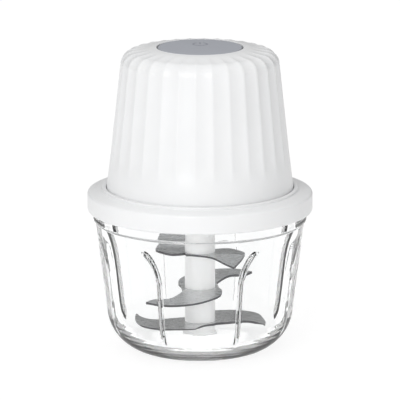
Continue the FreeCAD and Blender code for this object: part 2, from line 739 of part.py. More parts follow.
def make_motor_housing():
    rings = [flute_ring(*row) for row in meridian_points()]
    fluted = straight_solid("fluted_wall", Part.makeLoft(rings, True, False))
    start = "collar_top + flute_start"
    start_radius = "head_radius - flute_start * tan(head_taper)"
    skirt = cylinder("housing_skirt", "head_radius", "head_bottom", "collar_top")
    plain = cone("housing_plain_band", "head_radius", start_radius, "collar_top", start)
    crown_foot = "head_top - 2.6 * tan(top_slope)"
    crown = cone("housing_crown", "opening_radius + 2.6", "opening_radius", crown_foot, "head_top")
    outside = fuse("housing_outside", skirt, plain, fluted, crown)
    cavity = turned("housing_cavity", (
        (0, "head_bottom - 1"),
        ("head_radius - head_wall", "head_bottom - 1"),
        ("head_radius - head_wall", "collar_top"),
        ("shoulder_radius + inner_shoulder * cos(head_taper)",
         "shoulder_level + inner_shoulder * sin(head_taper)", "inner_shoulder"),
        ("shoulder_radius + inner_shoulder * sin(top_slope)",
         "shoulder_level + inner_shoulder * cos(top_slope)"),
        (0, "(face_offset - head_wall) / cos(top_slope)"),
    ))
    shell = cut("housing_shell", outside, cavity)
    additions = [tube("button_guide", "opening_radius + 1.8", "opening_radius", "head_top - 4.2",
                      "head_top - 1.5")]
    for index, turn in enumerate((45, 135, 225, 315)):
        additions.append(make_housing_boss(index + 1, turn))
    for side in (-1, 1):
        rail = sorted((side * 9.15, side * 10.6))
        additions.append(box(f"board_rail_{side + 2}", *rail, "board_face - 2.4", "port_plane - 1.1",
                             "port_level - 10", "port_level + 9"))
    solid = fuse("housing_solid", shell, *additions)
    opening = cylinder("button_opening", "opening_radius", "head_top - 6", "head_top + 1")
    recess = box("port_recess", "-cover_width / 2 - rest_gap", "cover_width / 2 + rest_gap",
                 "port_plane", "port_plane + 8",
                 "port_level - cover_height / 2 - rest_gap - 0.2", "port_level + cover_height / 2 + rest_gap")
    slot = box("port_slot", "-port_width / 2 - 0.4", "port_width / 2 + 0.4", "board_face + 1",
               "port_plane + 1", "port_level - port_height / 2 - 0.4", "port_level + port_height / 2 + 0.4")
    node(cut("housing_cut", solid, opening, recess, slot), "motor_housing")


def make_housing_boss(number, turn):
    """One screw boss with its rib to the wall and the hole for the screw."""
    across = f"boss_reach * cos({turn})"
    along = f"boss_reach * sin({turn})"
    post = cylinder(f"boss_post_{number}", 3.2, "base_top", "base_top + 12", across, along)
    rib = box(f"boss_rib_{number}", 0, "head_radius - head_wall - boss_reach + 0.4", 0, 2.4,
              "base_top", "base_top + 12")
    side = f"1.2 * sin({turn})"
    back = f"1.2 * cos({turn})"
    place(rib, f"{across} + {side}", f"{along} - {back}", "base_top", turn)
    hole = cylinder(f"boss_hole_{number}", 1.25, "base_top - 1", "base_top + 10", across, along)
    return cut(f"boss_{number}", fuse(f"boss_blank_{number}", post, rib), hole)


def make_housing_base():
    plate = cylinder("base_disc", "head_radius - head_wall - 0.1", "head_bottom", "base_top")
    solids = [plate]
    holes = [cylinder("base_hub_hole", "hub_radius + 1", "head_bottom - 1", "base_top + 1")]
    for index, (across, along) in enumerate(ring_places(4, "gearbox_radius + 3.3", 45)):
        solids.append(cylinder(f"gearbox_post_{index + 1}", 3, "head_bottom + 1", "gearbox_bottom",
                               across, along))
        holes.append(cylinder(f"gearbox_post_hole_{index + 1}", 1.25, "head_bottom + 0.8",
                              "gearbox_bottom + 1", across, along))
    for index, (across, along) in enumerate(ring_places(4, "boss_reach", 45)):
        holes.append(cylinder(f"base_hole_{index + 1}", 1.6, "head_bottom - 1", "base_top + 1",
                              across, along))
        holes.append(cylinder(f"base_sink_{index + 1}", 2.9, "head_bottom - 1", "head_bottom + 1.5",
                              across, along))
    node(cut("base_cut", fuse("base_blank", *solids), *holes), "housing_base")


def make_base_screws():
    """Housing screws, driven up from below, with their heads sunk in the base."""
    solids = []
    for index, (across, along) in enumerate(ring_places(4, "boss_reach", 45)):
        own = f"base_screw_{index + 1}"
        head = cylinder(own + "_head", 2.7, "head_bottom + 0.1", "head_bottom + 1.5", across, along)
        pin = cylinder(own + "_shank", 1.2, "head_bottom + 1.5", "base_top + 8", across, along)
        recess = box(own + "_recess", f"({across}) - 1.3", f"({across}) + 1.3", f"({along}) - 0.3",
                     f"({along}) + 0.3", "head_bottom - 1", "head_bottom + 0.9")
        solids.append(cut(own, fuse(own + "_blank", head, pin), recess))
    node(group("base_screws_group", solids), "base_screws")


# ---------------------------------------------------------------- head: power button

def make_power_button():
    cap_under = "head_top - 2.3"
    flange_top = "head_top - 4.6"
    node(turned("button_cap", (
        (0, "head_top - 3.5"),
        (2.5, "head_top - 3.5"),
        (2.5, cap_under),
        ("button_radius - 1.8", cap_under),
        ("button_radius - 1.8", f"{flange_top} - 1.2"),
        ("opening_radius + 1.3", f"{flange_top} - 1.2"),
        ("opening_radius + 1.3", flange_top),
        ("button_radius", flange_top),
        ("button_radius", "head_top - 0.6", 0.5),
        ("button_radius - 0.5", "head_top - 0.1"),
        (0, "head_top - 0.1"),
    )), "power_button")
    icon = make_power_icon()
    node(icon, "power_icon")
    spring_low = "board_top + spring_wire + 0.02"
    spring_high = f"{cap_under} - spring_wire - 0.08"
    line = doc.addObject("Part::Helix", "spring_line")
    bind(line, "Height", f"({spring_high}) - ({spring_low})")
    bind(line, "Pitch", f"(({spring_high}) - ({spring_low})) / 3")
    bind(line, "Radius", "spring_reach")
    place(line, 0, 0, spring_low)
    wire = doc.addObject("Part::RegularPolygon", "spring_section")
    wire.Polygon = 8
    bind(wire, "Circumradius", "spring_wire")
    wire.Placement = FreeCAD.Placement(ORIGIN, FreeCAD.Rotation(FreeCAD.Vector(1, 0, 0), 90))
    bind(wire, "Placement.Base.x", "spring_reach")
    bind(wire, "Placement.Base.z", spring_low)
    coil = doc.addObject("Part::Sweep", "button_coil")
    coil.Sections = [wire]
    coil.Spine = (line, [])
    coil.Solid = True
    coil.Frenet = True
    node(coil, "button_spring")


def make_power_icon():
    """A plain power symbol, inlaid a hair proud of the button: an open ring and a bar."""
    low = "head_top - 0.1"
    high = "head_top - 0.02"
    centre = 7.5
    ring = tube("icon_ring", 4.0, 3.3, low, high, 0, centre)
    gap = box("icon_gap", -1.6, 1.6, centre, centre + 6, f"{low} - 1", f"{high} + 1")
    bar = box("icon_bar", -0.35, 0.35, centre + 0.6, centre + 4.6, low, high)
    return group("icon_pieces", [cut("icon_open_ring", ring, gap), bar])


# ---------------------------------------------------------------- head: gearbox

def gear_face(teeth, tip, root, thickness_offset, first_tooth):
    """A flat gear with involute flanks, each drawn as an arc through three of its points.

    thickness_offset is what a tooth gains at the pitch circle, and first_tooth its angle.
    """
    module = value("gear_module")
    pressure = math.radians(value("pressure_angle"))
    pitch = module * teeth / 2
    base = pitch * math.cos(pressure)

    def involute(angle):
        return math.tan(angle) - angle

    half_at_pitch = (math.pi * module / 2 + thickness_offset) / 2 / pitch

    def half_angle(radius):
        at_radius = math.acos(min(base / radius, 1))
        return half_at_pitch + involute(pressure) - involute(at_radius)

    def at(radius, angle):
        return FreeCAD.Vector(radius * math.cos(angle), radius * math.sin(angle), 0)

    low = max(root, base)
    middle = (low + tip) / 2
    step = 2 * math.pi / teeth
    edges = []
    for index in range(teeth):
        here = first_tooth + step * index
        rise = [at(r, here - half_angle(r)) for r in (low, middle, tip)]
        fall = [at(r, here + half_angle(r)) for r in (tip, middle, low)]
        if low > root:
            foot = at(root, here - half_angle(low))
            edges.append(Part.makeLine(foot, rise[0]))
        edges.append(Part.Arc(*rise).toShape())
        edges.append(Part.Arc(rise[2], at(tip, here), fall[0]).toShape())
        edges.append(Part.Arc(*fall).toShape())
        next_foot = here + step - half_angle(low)
        valley = at(root, here + step / 2)
        if low > root:
            edges.append(Part.makeLine(fall[2], at(root, here + half_angle(low))))
        start = at(root if low > root else low, here + half_angle(low))
        finish = at(root if low > root else low, next_foot)
        edges.append(Part.Arc(start, valley if low > root else at(low, here + step / 2), finish).toShape())
    return Part.Face(Part.Wire(edges))


ADDENDUM = 0.8
DEDENDUM = 1.0


def make_gears():
    module = value("gear_module")
    backlash = value("gear_backlash")
    width = FreeCAD.Vector(0, 0, value("gear_face"))
    bottom = value("gear_bottom")
    sun_pitch = module * value("sun_teeth") / 2
    sun = gear_face(int(value("sun_teeth")), sun_pitch + ADDENDUM * module, sun_pitch - DEDENDUM * module,
                    -backlash, 0)
    pinion = straight_solid("sun_blank", sun.extrude(width + UP))
    pinion.Placement = FreeCAD.Placement(FreeCAD.Vector(0, 0, bottom), FreeCAD.Rotation())
    bore = cylinder("sun_bore", "motor_shaft_radius + fixed_fit / 2", "gear_bottom - 1", "gear_top + 2")
    node(cut("sun", pinion, bore), "sun_gear")

    ring_pitch = module * value("ring_teeth") / 2
    teeth = int(value("ring_teeth"))
    space = gear_face(teeth, ring_pitch + DEDENDUM * module, ring_pitch - ADDENDUM * module,
                      backlash, math.pi / teeth)
    blank = cylinder("ring_blank", "ring_outer", "gear_bottom - 0.4", "gear_top + 0.6")
    inside = straight_solid("ring_space", space.extrude(FreeCAD.Vector(0, 0, value("gear_face") + 4)))
    inside.Placement = FreeCAD.Placement(FreeCAD.Vector(0, 0, bottom - 2), FreeCAD.Rotation())
    node(cut("ring", blank, inside), "ring_gear")

    planet_pitch = module * value("planet_teeth") / 2
    planet_count = int(value("planet_teeth"))
    for index in range(3):
        turn = 120 * index
        face = gear_face(planet_count, planet_pitch + ADDENDUM * module, planet_pitch - DEDENDUM * module,
                         -backlash, math.pi / planet_count + math.radians(turn))
        name = f"planet_gear_{index + 1}"
        across = f"planet_reach * cos({turn})"
        along = f"planet_reach * sin({turn})"
        blank = straight_solid(name + "_blank", face.extrude(width))
        centre = FreeCAD.Vector(value(across), value(along), bottom)
        blank.Placement = FreeCAD.Placement(centre, FreeCAD.Rotation())
        hole = cylinder(name + "_bore", "planet_pin_radius + running_fit", "gear_bottom - 1",
                        "gear_top + 1", across, along)
        node(cut(name + "_cut", blank, hole), name)


def make_output():
    """Carrier disc with three pins, and the shaft that ends in the hexagonal drive."""
    disc = cylinder("carrier_disc", "planet_reach + 3.6", "carrier_bottom", "carrier_top")
    holes = [cylinder("carrier_bore", "bearing_bore - running_fit", "carrier_bottom - 1", "carrier_top + 1")]
    pins = []
    for index, (across, along) in enumerate(ring_places(3, "planet_reach")):
        pin = ("planet_pin_radius", "carrier_bottom + 0.4", "gear_top + 1.2", across, along)
        holes.append(cylinder(f"pin_hole_{index + 1}", "planet_pin_radius", "carrier_bottom + 0.4",
                              "carrier_top + 1", across, along))
        pins.append(cylinder(f"planet_pin_{index + 1}", *pin))
    node(cut("carrier", disc, *holes), "planet_carrier")
    node(group("pins", pins), "planet_pins")
    journal = cylinder("output_journal", "bearing_bore - running_fit", "shaft_top + 1", "carrier_top")
    drive = hexagon("output_hexagon", "drive_flats", "shaft_top - drive_reach", "shaft_top + 1")
    node(fuse("output", journal, drive), "output_shaft")


def make_gearbox():
    plate = cylinder("gearbox_plate", "gearbox_radius + 6.4", "gearbox_bottom", "gearbox_floor")
    nose = cylinder("gearbox_nose", "bearing_radius + 1.2", "hub_top + 0.8", "gearbox_bottom")
    wall = cylinder("gearbox_wall_blank", "gearbox_radius", "gearbox_floor", "gearbox_top")
    solids = [plate, nose, wall]
    holes = [
        cylinder("gearbox_pocket", "ring_outer + fixed_fit", "gearbox_floor", "gearbox_top + 1"),
        cylinder("bearing_seat", "bearing_radius", "bearing_bottom", "gearbox_top + 1"),
        cylinder("output_hole", "bearing_bore + 0.6", "hub_top", "gearbox_top + 1"),
    ]
    lug = "gearbox_radius + 2.8"
    for index, along in enumerate((f"-({lug})", lug)):
        solids.append(cylinder(f"lug_{index + 1}", 3, "gearbox_floor", "gearbox_top", 0, along))
        holes.append(cylinder(f"lug_hole_{index + 1}", 1.25, "gearbox_floor + 2", "gearbox_top + 1", 0,
                              along))
    for index, (across, along) in enumerate(ring_places(4, "gearbox_radius + 3.3", 45)):
        holes.append(cylinder(f"gearbox_hole_{index + 1}", 1.5, "gearbox_bottom - 1", "gearbox_floor + 1",
                              across, along))
    node(cut("gearbox", fuse("gearbox_blank", *solids), *holes), "gearbox_housing")
    node(tube("bearing", "bearing_radius", "bearing_bore", "bearing_bottom", "gearbox_floor + 0.4"),
         "output_bearing")
    screws("gearbox_screws", ring_places(4, "gearbox_radius + 3.3", 45), "gearbox_floor", 5.6, 1.2, 2.4, 1.7)

    disc = cylinder("mount_disc", "gearbox_radius", "gearbox_top", "mount_top")
    ears = [cylinder(f"mount_ear_{index + 1}", 3, "gearbox_top", "mount_top", 0, along)
            for index, along in enumerate((f"-({lug})", lug))]
    mount_holes = [cylinder("mount_bore", "motor_boss_radius + fixed_fit", "gearbox_top - 1",
                            "mount_top + 1")]
    for index, along in enumerate((f"-({lug})", lug)):
        mount_holes.append(cylinder(f"ear_hole_{index + 1}", 1.5, "gearbox_top - 1", "mount_top + 1", 0,
                                    along))
    for index, across in enumerate((-8, 8)):
        mount_holes.append(cylinder(f"motor_hole_{index + 1}", 1.4, "gearbox_top - 1", "mount_top + 1",
                                    across))
        mount_holes.append(cylinder(f"motor_sink_{index + 1}", 2.3, "gearbox_top - 1", "gearbox_top + 1.2",
                                    across))
    node(cut("mount", fuse("mount_blank", disc, *ears), *mount_holes), "motor_mount")
    screws("mount_screws", [(0, f"-({lug})"), (0, lug)], "mount_top", 10, 1.2, 2.2, 1.6)


# ---------------------------------------------------------------- head: motor

def make_motor():
    can_blank = cylinder("can_blank", "motor_radius", "mount_top", "motor_top")
    boss = cylinder("can_boss", "motor_boss_radius", "gearbox_top + 0.4", "mount_top")
    inside = cylinder("can_inside", "motor_radius - 1", "mount_top + 1.4", "motor_top + 1")
    bush_seat = cylinder("can_bush_seat", 3, "gearbox_top", "mount_top + 2")
    screw_holes = [cylinder(f"can_hole_{index + 1}", 1.25, "mount_top - 1", "mount_top + 2", across)
                   for index, across in enumerate((-8, 8))]
    node(cut("can", fuse("can_solid", can_blank, boss), inside, bush_seat, *screw_holes), "motor_can")

    cap = cylinder("cap_blank", "motor_radius", "motor_top", "motor_cap_top")
    cap_bush = cylinder("cap_bush_seat", 3, "motor_top - 1", "motor_cap_top - 1")
    cap_hollow = cylinder("cap_hollow", "motor_radius - 2", "motor_top - 1", "motor_top + 2")
    slots = [box(f"cap_slot_{index + 1}", across - 0.5, across + 0.5, -2, 2, "motor_top - 1",
                 "motor_cap_top + 1") for index, across in enumerate((-8, 8))]
    node(cut("cap", cap, cap_bush, cap_hollow, *slots), "motor_end_cap")
    terminals = [box(f"terminal_{index + 1}", across - 0.4, across + 0.4, -1.4, 1.4, "motor_top + 1",
                     "board_top + 0.6") for index, across in enumerate((-8, 8))]
    node(group("terminals", terminals), "motor_terminals")

    bushes = [
        tube("front_bush", 2.95, "motor_shaft_radius + running_fit", "gearbox_top + 0.5", "mount_top + 1.8"),
        tube("rear_bush", 2.95, "motor_shaft_radius + running_fit", "motor_top + 1.2", "motor_cap_top - 1.1"),
    ]
    node(group("bushes", bushes), "motor_bushes")
    sleeve = tube("magnet_sleeve", "motor_radius - 1.05", "motor_radius - 4.2", "mount_top + 3",
                  "motor_top - 3")
    gap = box("magnet_gap", "-motor_radius", "motor_radius", -2.5, 2.5, "mount_top", "motor_top")
    node(cut("magnets", sleeve, gap), "motor_magnets")
    node(cylinder("rotor_shaft", "motor_shaft_radius", "gear_bottom + 0.2", "motor_cap_top - 1.2"),
         "motor_shaft")
    core = cylinder("armature_core", "motor_radius - 5", "mount_top + 4", "motor_top - 6")
    winding = cylinder("armature_winding", "motor_radius - 6.5", "mount_top + 3.2", "motor_top - 4.6")
    commutator = cylinder("commutator", 3.4, "motor_top - 4.6", "motor_top - 0.5")
    bore = cylinder("armature_bore", "motor_shaft_radius + fixed_fit / 2", "mount_top", "motor_top")
    node(cut("armature_cut", fuse("armature_solid", core, winding, commutator), bore), "armature")
    solids = []
    for index, across in enumerate((-8, 8)):
        own = f"motor_screw_{index + 1}"
        head = cylinder(own + "_head", 2.1, "gearbox_top + 0.1", "gearbox_top + 1.2", across)
        pin = cylinder(own + "_shank", 1.2, "gearbox_top + 1.2", "mount_top + 1.3", across)
        solids.append(fuse(own, head, pin))
    node(group("motor_screws_group", solids), "motor_screws")


# ---------------------------------------------------------------- head: battery and electronics

def make_battery():
    """Two cells, the cups they stand in, the strip that joins them and the tabs to the board."""
    cups = []
    hollows = []
    tabs = []
    pads = []
    for side, name in ((-1, "left"), (1, "right")):
        reach = f"{side} * cell_reach"
        can = cylinder(name + "_cell_can", "cell_radius", "cell_bottom", "cell_top - 0.8", reach)
        cap = cylinder(name + "_cell_cap", 3.1, "cell_top - 0.8", "cell_top", reach)
        node(fuse(name + "_cell_solid", can, cap), name + "_battery_cell")
        cup = cylinder(name + "_cup", "cell_radius + 1.3", "cell_bottom - 2.4", "cell_bottom + 9", reach)
        leg = cylinder(name + "_leg", 4, "base_top", "cell_bottom - 2.4", f"{side} * (cell_reach + 1.5)")
        cups.append(fuse(name + "_cup_and_leg", cup, leg))
        hollows.append(cylinder(name + "_hollow", "cell_radius + 0.15", "cell_bottom - 0.4",
                                "cell_bottom + 10", reach))
        tabs.append(box(name + "_tab", f"{reach} - 0.15", f"{reach} + 0.15", -1.5, 1.5, "cell_top",
                        "board_top + 0.4"))
        pads.append(box(name + "_link_pad", f"{reach} - 3.8", f"{reach} + 3.8", -1.8, 1.8,
                        "cell_bottom - 0.35", "cell_bottom - 0.05"))
    core = cylinder("holder_core", "gearbox_radius + 0.4", "cell_bottom - 4", "cell_bottom + 10")
    slot = cylinder("link_slot", "cell_reach - 2.4", "cell_bottom - 0.4", "cell_bottom + 0.4")
    node(cut("holder_cut", group("cup_pair", cups), core, slot, *hollows), "battery_holder")
    node(group("tab_pair", tabs), "battery_tabs")
    hoop = tube("link_hoop", "cell_reach - 2.9", "cell_reach - 3.7", "cell_bottom - 0.35",
                "cell_bottom - 0.05")
    back = box("link_back", "-cell_reach", "cell_reach", 0, "cell_reach", "cell_bottom - 1",
               "cell_bottom + 1")
    node(fuse("link", cut("link_half", hoop, back), *pads), "battery_link")


def make_board_carrier():
    disc = cylinder("plate_disc", "cell_reach + 8", "carrier_plate_bottom", "board_bottom")
    pads = []
    holes = [cylinder("plate_core", 11, "carrier_plate_bottom - 1", "board_bottom + 1")]
    for index, side in enumerate((-1, 1)):
        reach = f"{side} * cell_reach"
        pads.append(cylinder(f"cell_pad_{index + 1}", 7.5, "cell_top - 0.7", "carrier_plate_bottom", reach))
        holes.append(cylinder(f"tab_hole_{index + 1}", 3.5, "cell_top - 1", "board_bottom + 1", reach))
    for index, (across, along) in enumerate(ring_places(2, "cell_reach", 90)):
        holes.append(cylinder(f"plate_hole_{index + 1}", 1.5, "carrier_plate_bottom - 1",
                              "board_bottom + 1", across, along))
    holes.append(box("wire_notch", 4, 12, "cell_reach - 2", "cell_reach + 12", "carrier_plate_bottom - 1",
                     "board_bottom + 1"))
    node(cut("plate_cut", fuse("plate_blank", disc, *pads), *holes), "board_carrier")
    standoffs = []
    for index, (across, along) in enumerate(ring_places(2, "cell_reach", 90)):
        post = cylinder(f"standoff_post_{index + 1}", 2.75, "base_top", "carrier_plate_bottom", across, along)
        bore = cylinder(f"standoff_bore_{index + 1}", 1.25, "carrier_plate_bottom - 8",
                        "carrier_plate_bottom + 1", across, along)
        standoffs.append(cut(f"standoff_{index + 1}", post, bore))
    node(group("standoffs", standoffs), "board_standoffs")
    screws("board_screws", ring_places(2, "cell_reach", 90), "board_top", 8, 1.2, 1.9, 1.2)


def make_control_board():
    disc = cylinder("board_disc", "board_radius", "board_bottom", "board_top")
    holes = []
    for index, (across, along) in enumerate(ring_places(2, "cell_reach", 90)):
        holes.append(cylinder(f"board_hole_{index + 1}", 1.35, "board_bottom - 1", "board_top + 1",
                              across, along))
    for index, side in enumerate((-1, 1)):
        reach = f"{side} * cell_reach"
        holes.append(box(f"tab_slot_{index + 1}", f"{reach} - 0.3", f"{reach} + 0.3", -1.7, 1.7,
                         "board_bottom - 1", "board_top + 1"))
        holes.append(box(f"terminal_slot_{index + 1}", side * 8 - 0.6, side * 8 + 0.6, -1.6, 1.6,
                         "board_bottom - 1", "board_top + 1"))
    node(cut("board_cut", disc, *holes), "control_board")
    # (left, right, front, back, height) of each component on the board
    chips = (
        (10.5, 16.5, 7, 13, 1.0),
        (-16, -9.5, -13, -3.5, 2.2),
        (-14, -8, 8, 14, 2.0),
        (9, 12.2, -14, -12.4, 0.8),
        (13.4, 16.6, -10, -8.4, 0.8),
        (-3, 3, -17, -12, 1.4),
    )
    parts = [box(f"chip_{index + 1}", left, right, front, back, "board_top", f"board_top + {height}")
             for index, (left, right, front, back, height) in enumerate(chips)]
    node(group("chips", parts), "board_chips")
    body = box("switch_body", -3, 3, -3, 3, "board_top", "board_top + 3.2")
    plunger = cylinder("switch_plunger", 1.7, "board_top + 3.2", "head_top - 3.5 - button_travel - rest_gap")
    node(fuse("switch", body, plunger), "tact_switch")


def make_interlock_sensor():
    body = box("sensor_body", -2.1, 2.1, "-magnet_reach - 0.8", "-magnet_reach + 0.8", "base_top + 0.1",
               "base_top + 3.2")
    leads = [box(f"sensor_lead_{index + 1}", 1.27 * index - 0.2, 1.27 * index + 0.2, "-magnet_reach - 0.2",
                 "-magnet_reach + 0.2", "base_top + 3", "base_top + 9") for index in (-1, 0, 1)]
    node(fuse("sensor", body, *leads), "interlock_sensor")


def make_charging():
    half_width = "port_width / 2"
    half_height = "port_height / 2"
    node(box("small_board", -9, 9, "board_face - board_thickness", "board_face", "port_level - 10",
             "port_level + 9"), "charge_board")
    blank = box("socket_shell", f"-{half_width}", half_width, "board_face", "board_face + port_length",
                f"port_level - {half_height}", f"port_level + {half_height}")
    hollow = box("socket_inside", f"-{half_width} + 0.35", f"{half_width} - 0.35", "board_face + 1",
                 "board_face + port_length + 1", f"port_level - {half_height} + 0.35",
                 f"port_level + {half_height} - 0.35")
    tongue = box("socket_tongue", -3.3, 3.3, "board_face + 0.5", "board_face + port_length - 1",
                 "port_level - 0.35", "port_level + 0.35")
    node(fuse("socket_whole", cut("socket_frame", blank, hollow), tongue), "charge_socket")
    wires = []
    for index, across in enumerate((5.2, 7.6)):
        wires.append(cylinder(f"charge_wire_{index + 1}", 0.6, "port_level + 7", "board_bottom - 0.2", across,
                              "board_face - board_thickness - 0.7"))
    node(group("wire_pair", wires), "charge_wires")
    hinge_along = "port_plane + rest_gap + flap_thickness / 2"
    hinge_level = "port_level - cover_height / 2 + flap_thickness / 2"
    flap = box("flap", "-cover_width / 2", "cover_width / 2", "port_plane + rest_gap",
               "port_plane + rest_gap + flap_thickness", hinge_level, "port_level + cover_height / 2")
    roll = doc.addObject("Part::Cylinder", "flap_roll")
    bind(roll, "Radius", "flap_thickness / 2")
    bind(roll, "Height", "cover_width")
    roll.Placement = FreeCAD.Placement(ORIGIN, FreeCAD.Rotation(FreeCAD.Vector(0, 1, 0), 90))
    bind(roll, "Placement.Base.x", "-cover_width / 2")
    bind(roll, "Placement.Base.y", hinge_along)
    bind(roll, "Placement.Base.z", hinge_level)
    rim = box("flap_rim", f"-{half_width}", half_width, "port_plane - 0.5", "port_plane + rest_gap + 0.5",
              f"port_level - {half_height} * 0.6", f"port_level + {half_height} * 0.6")
    pull = box("flap_pull", -2.5, 2.5, "port_plane + rest_gap + 0.5", "port_plane + rest_gap + 1.8",
               "port_level + cover_height / 2 - 1", "port_level + cover_height / 2 - 0.2")
    node(fuse("flap_whole", flap, roll, rim, pull), "socket_cover")


# ---------------------------------------------------------------- the assembly

def check_document():
    """Stops at the first object that failed, and at any sub-part without a sound closed shape."""
    failed = [thing.Name for thing in doc.Objects if {"Invalid", "Error"} & set(thing.State)]
    if failed:
        raise RuntimeError(f"these did not build: {failed}")
    for thing in nodes:
        shape = thing.Shape
        if shape.isNull() or not shape.isValid() or not shape.Solids:
            raise RuntimeError(f"{thing.Label} has no sound solid")


def main():
    make_bowl()
    make_pivot_pin()
    make_shaft_core()
    make_sleeves()
    make_shaft_journal()
    make_drive_socket()
    make_blades()
    make_lid()
    make_motor_housing()
    make_housing_base()
    make_base_screws()
    make_power_button()
    make_gears()
    make_output()
    make_gearbox()
    make_motor()
    make_battery()
    make_board_carrier()
    make_control_board()
    make_interlock_sensor()
    make_charging()
    doc.recompute()
    check_document()
    os.makedirs("parts", exist_ok=True)
    for thing in nodes:
        thing.Shape.exportStep(f"parts/{thing.Label}.step")
        print(f"{thing.Label}: {len(thing.Shape.Solids)} solid(s), {thing.Shape.Volume:.1f} mm3")


main()
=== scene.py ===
"""Looks and studio of the food processor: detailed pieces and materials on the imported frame.

Lengths in the tables and profiles are millimetres; MM turns them into metres when a mesh is made.
"""
import json
import math

import bmesh
import bpy
import numpy as np
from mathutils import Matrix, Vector
from mathutils.geometry import delaunay_2d_cdt


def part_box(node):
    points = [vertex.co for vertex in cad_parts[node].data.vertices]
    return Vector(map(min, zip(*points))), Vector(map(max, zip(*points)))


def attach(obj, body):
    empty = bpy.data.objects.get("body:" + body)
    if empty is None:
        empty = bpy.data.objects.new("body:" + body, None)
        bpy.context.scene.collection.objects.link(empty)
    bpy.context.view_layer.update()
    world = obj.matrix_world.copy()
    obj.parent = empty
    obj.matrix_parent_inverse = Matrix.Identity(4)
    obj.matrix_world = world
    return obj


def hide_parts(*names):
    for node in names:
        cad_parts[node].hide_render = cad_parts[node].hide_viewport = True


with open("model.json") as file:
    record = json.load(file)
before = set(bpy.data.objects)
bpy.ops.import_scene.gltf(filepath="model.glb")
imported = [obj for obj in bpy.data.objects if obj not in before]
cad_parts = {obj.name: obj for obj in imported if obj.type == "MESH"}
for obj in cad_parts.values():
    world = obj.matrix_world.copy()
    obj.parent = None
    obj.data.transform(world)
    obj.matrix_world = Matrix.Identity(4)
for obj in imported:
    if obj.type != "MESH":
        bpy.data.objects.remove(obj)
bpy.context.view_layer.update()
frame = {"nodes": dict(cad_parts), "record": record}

MM = 0.001


# ---------------------------------------------------------------- camera

CAMERA_DISTANCE = 1.942
CAMERA_LENS = 342.0
CAMERA_ELEVATION = math.radians(13.1)
CAMERA_AIM = Vector((0.0, 0.0, 0.0775))


def make_camera():
    data = bpy.data.cameras.new("camera")
    data.lens = CAMERA_LENS
    data.sensor_width = 36.0
    data.clip_start = 0.05
    data.clip_end = 20.0
    camera = bpy.data.objects.new("camera", data)
    back = Vector((0.0, -math.cos(CAMERA_ELEVATION), math.sin(CAMERA_ELEVATION)))
    camera.location = CAMERA_AIM + back * CAMERA_DISTANCE
    camera.rotation_euler = (-back).to_track_quat("-Z", "Y").to_euler()
    bpy.context.scene.collection.objects.link(camera)
    bpy.context.scene.camera = camera


make_camera()


# ---------------------------------------------------------------- material helpers

def new_material(name):
    """A node material and its Principled shader."""
    material = bpy.data.materials.new(name)
    material.use_nodes = True
    return material, material.node_tree, material.node_tree.nodes["Principled BSDF"]


def noise(tree, scale, detail=3.0, stretch=(1.0, 1.0, 1.0)):
    """A noise in the piece's own space. scale counts features per metre."""
    coordinates = tree.nodes.new("ShaderNodeTexCoord")
    mapping = tree.nodes.new("ShaderNodeMapping")
    mapping.inputs["Scale"].default_value = stretch
    texture = tree.nodes.new("ShaderNodeTexNoise")
    texture.inputs["Scale"].default_value = scale
    texture.inputs["Detail"].default_value = detail
    tree.links.new(coordinates.outputs["Object"], mapping.inputs["Vector"])
    tree.links.new(mapping.outputs["Vector"], texture.inputs["Vector"])
    return texture.outputs["Fac"]


def rings(tree, scale):
    """Fine turning rings round the z axis."""
    coordinates = tree.nodes.new("ShaderNodeTexCoord")
    texture = tree.nodes.new("ShaderNodeTexWave")
    texture.wave_type = "RINGS"
    texture.rings_direction = "Z"
    texture.inputs["Scale"].default_value = scale
    texture.inputs["Distortion"].default_value = 0.4
    tree.links.new(coordinates.outputs["Object"], texture.inputs["Vector"])
    return texture.outputs["Fac"]


NOISE_LOW, NOISE_HIGH = 0.3, 0.7


def steer(tree, source, socket, low, high):
    """The source's usual span drives the socket from low to high."""
    span = tree.nodes.new("ShaderNodeMapRange")
    span.inputs["From Min"].default_value = NOISE_LOW
    span.inputs["From Max"].default_value = NOISE_HIGH
    span.inputs["To Min"].default_value = low
    span.inputs["To Max"].default_value = high
    tree.links.new(source, span.inputs["Value"])
    tree.links.new(span.outputs["Result"], socket)


def tint(tree, source, shader, first, second):
    """The source's usual span drives the base colour between two colours."""
    ramp = tree.nodes.new("ShaderNodeValToRGB")
    ramp.color_ramp.elements[0].position = NOISE_LOW
    ramp.color_ramp.elements[0].color = (*first, 1.0)
    ramp.color_ramp.elements[1].position = NOISE_HIGH
    ramp.color_ramp.elements[1].color = (*second, 1.0)
    tree.links.new(source, ramp.inputs["Fac"])
    tree.links.new(ramp.outputs["Color"], shader.inputs["Base Color"])


def relief(tree, shader, *layers):
    """Bump from layers of (source, depth in metres), each on top of the last."""
    below = None
    for source, depth in layers:
        bump = tree.nodes.new("ShaderNodeBump")
        bump.inputs["Distance"].default_value = depth
        tree.links.new(source, bump.inputs["Height"])
        if below:
            tree.links.new(below, bump.inputs["Normal"])
        below = bump.outputs["Normal"]
    tree.links.new(below, shader.inputs["Normal"])


def shades(colour, spread):
    """The colour a little darker and a little lighter."""
    return [min(1.0, c * (1 - spread)) for c in colour], [min(1.0, c * (1 + spread)) for c in colour]


# ---------------------------------------------------------------- materials

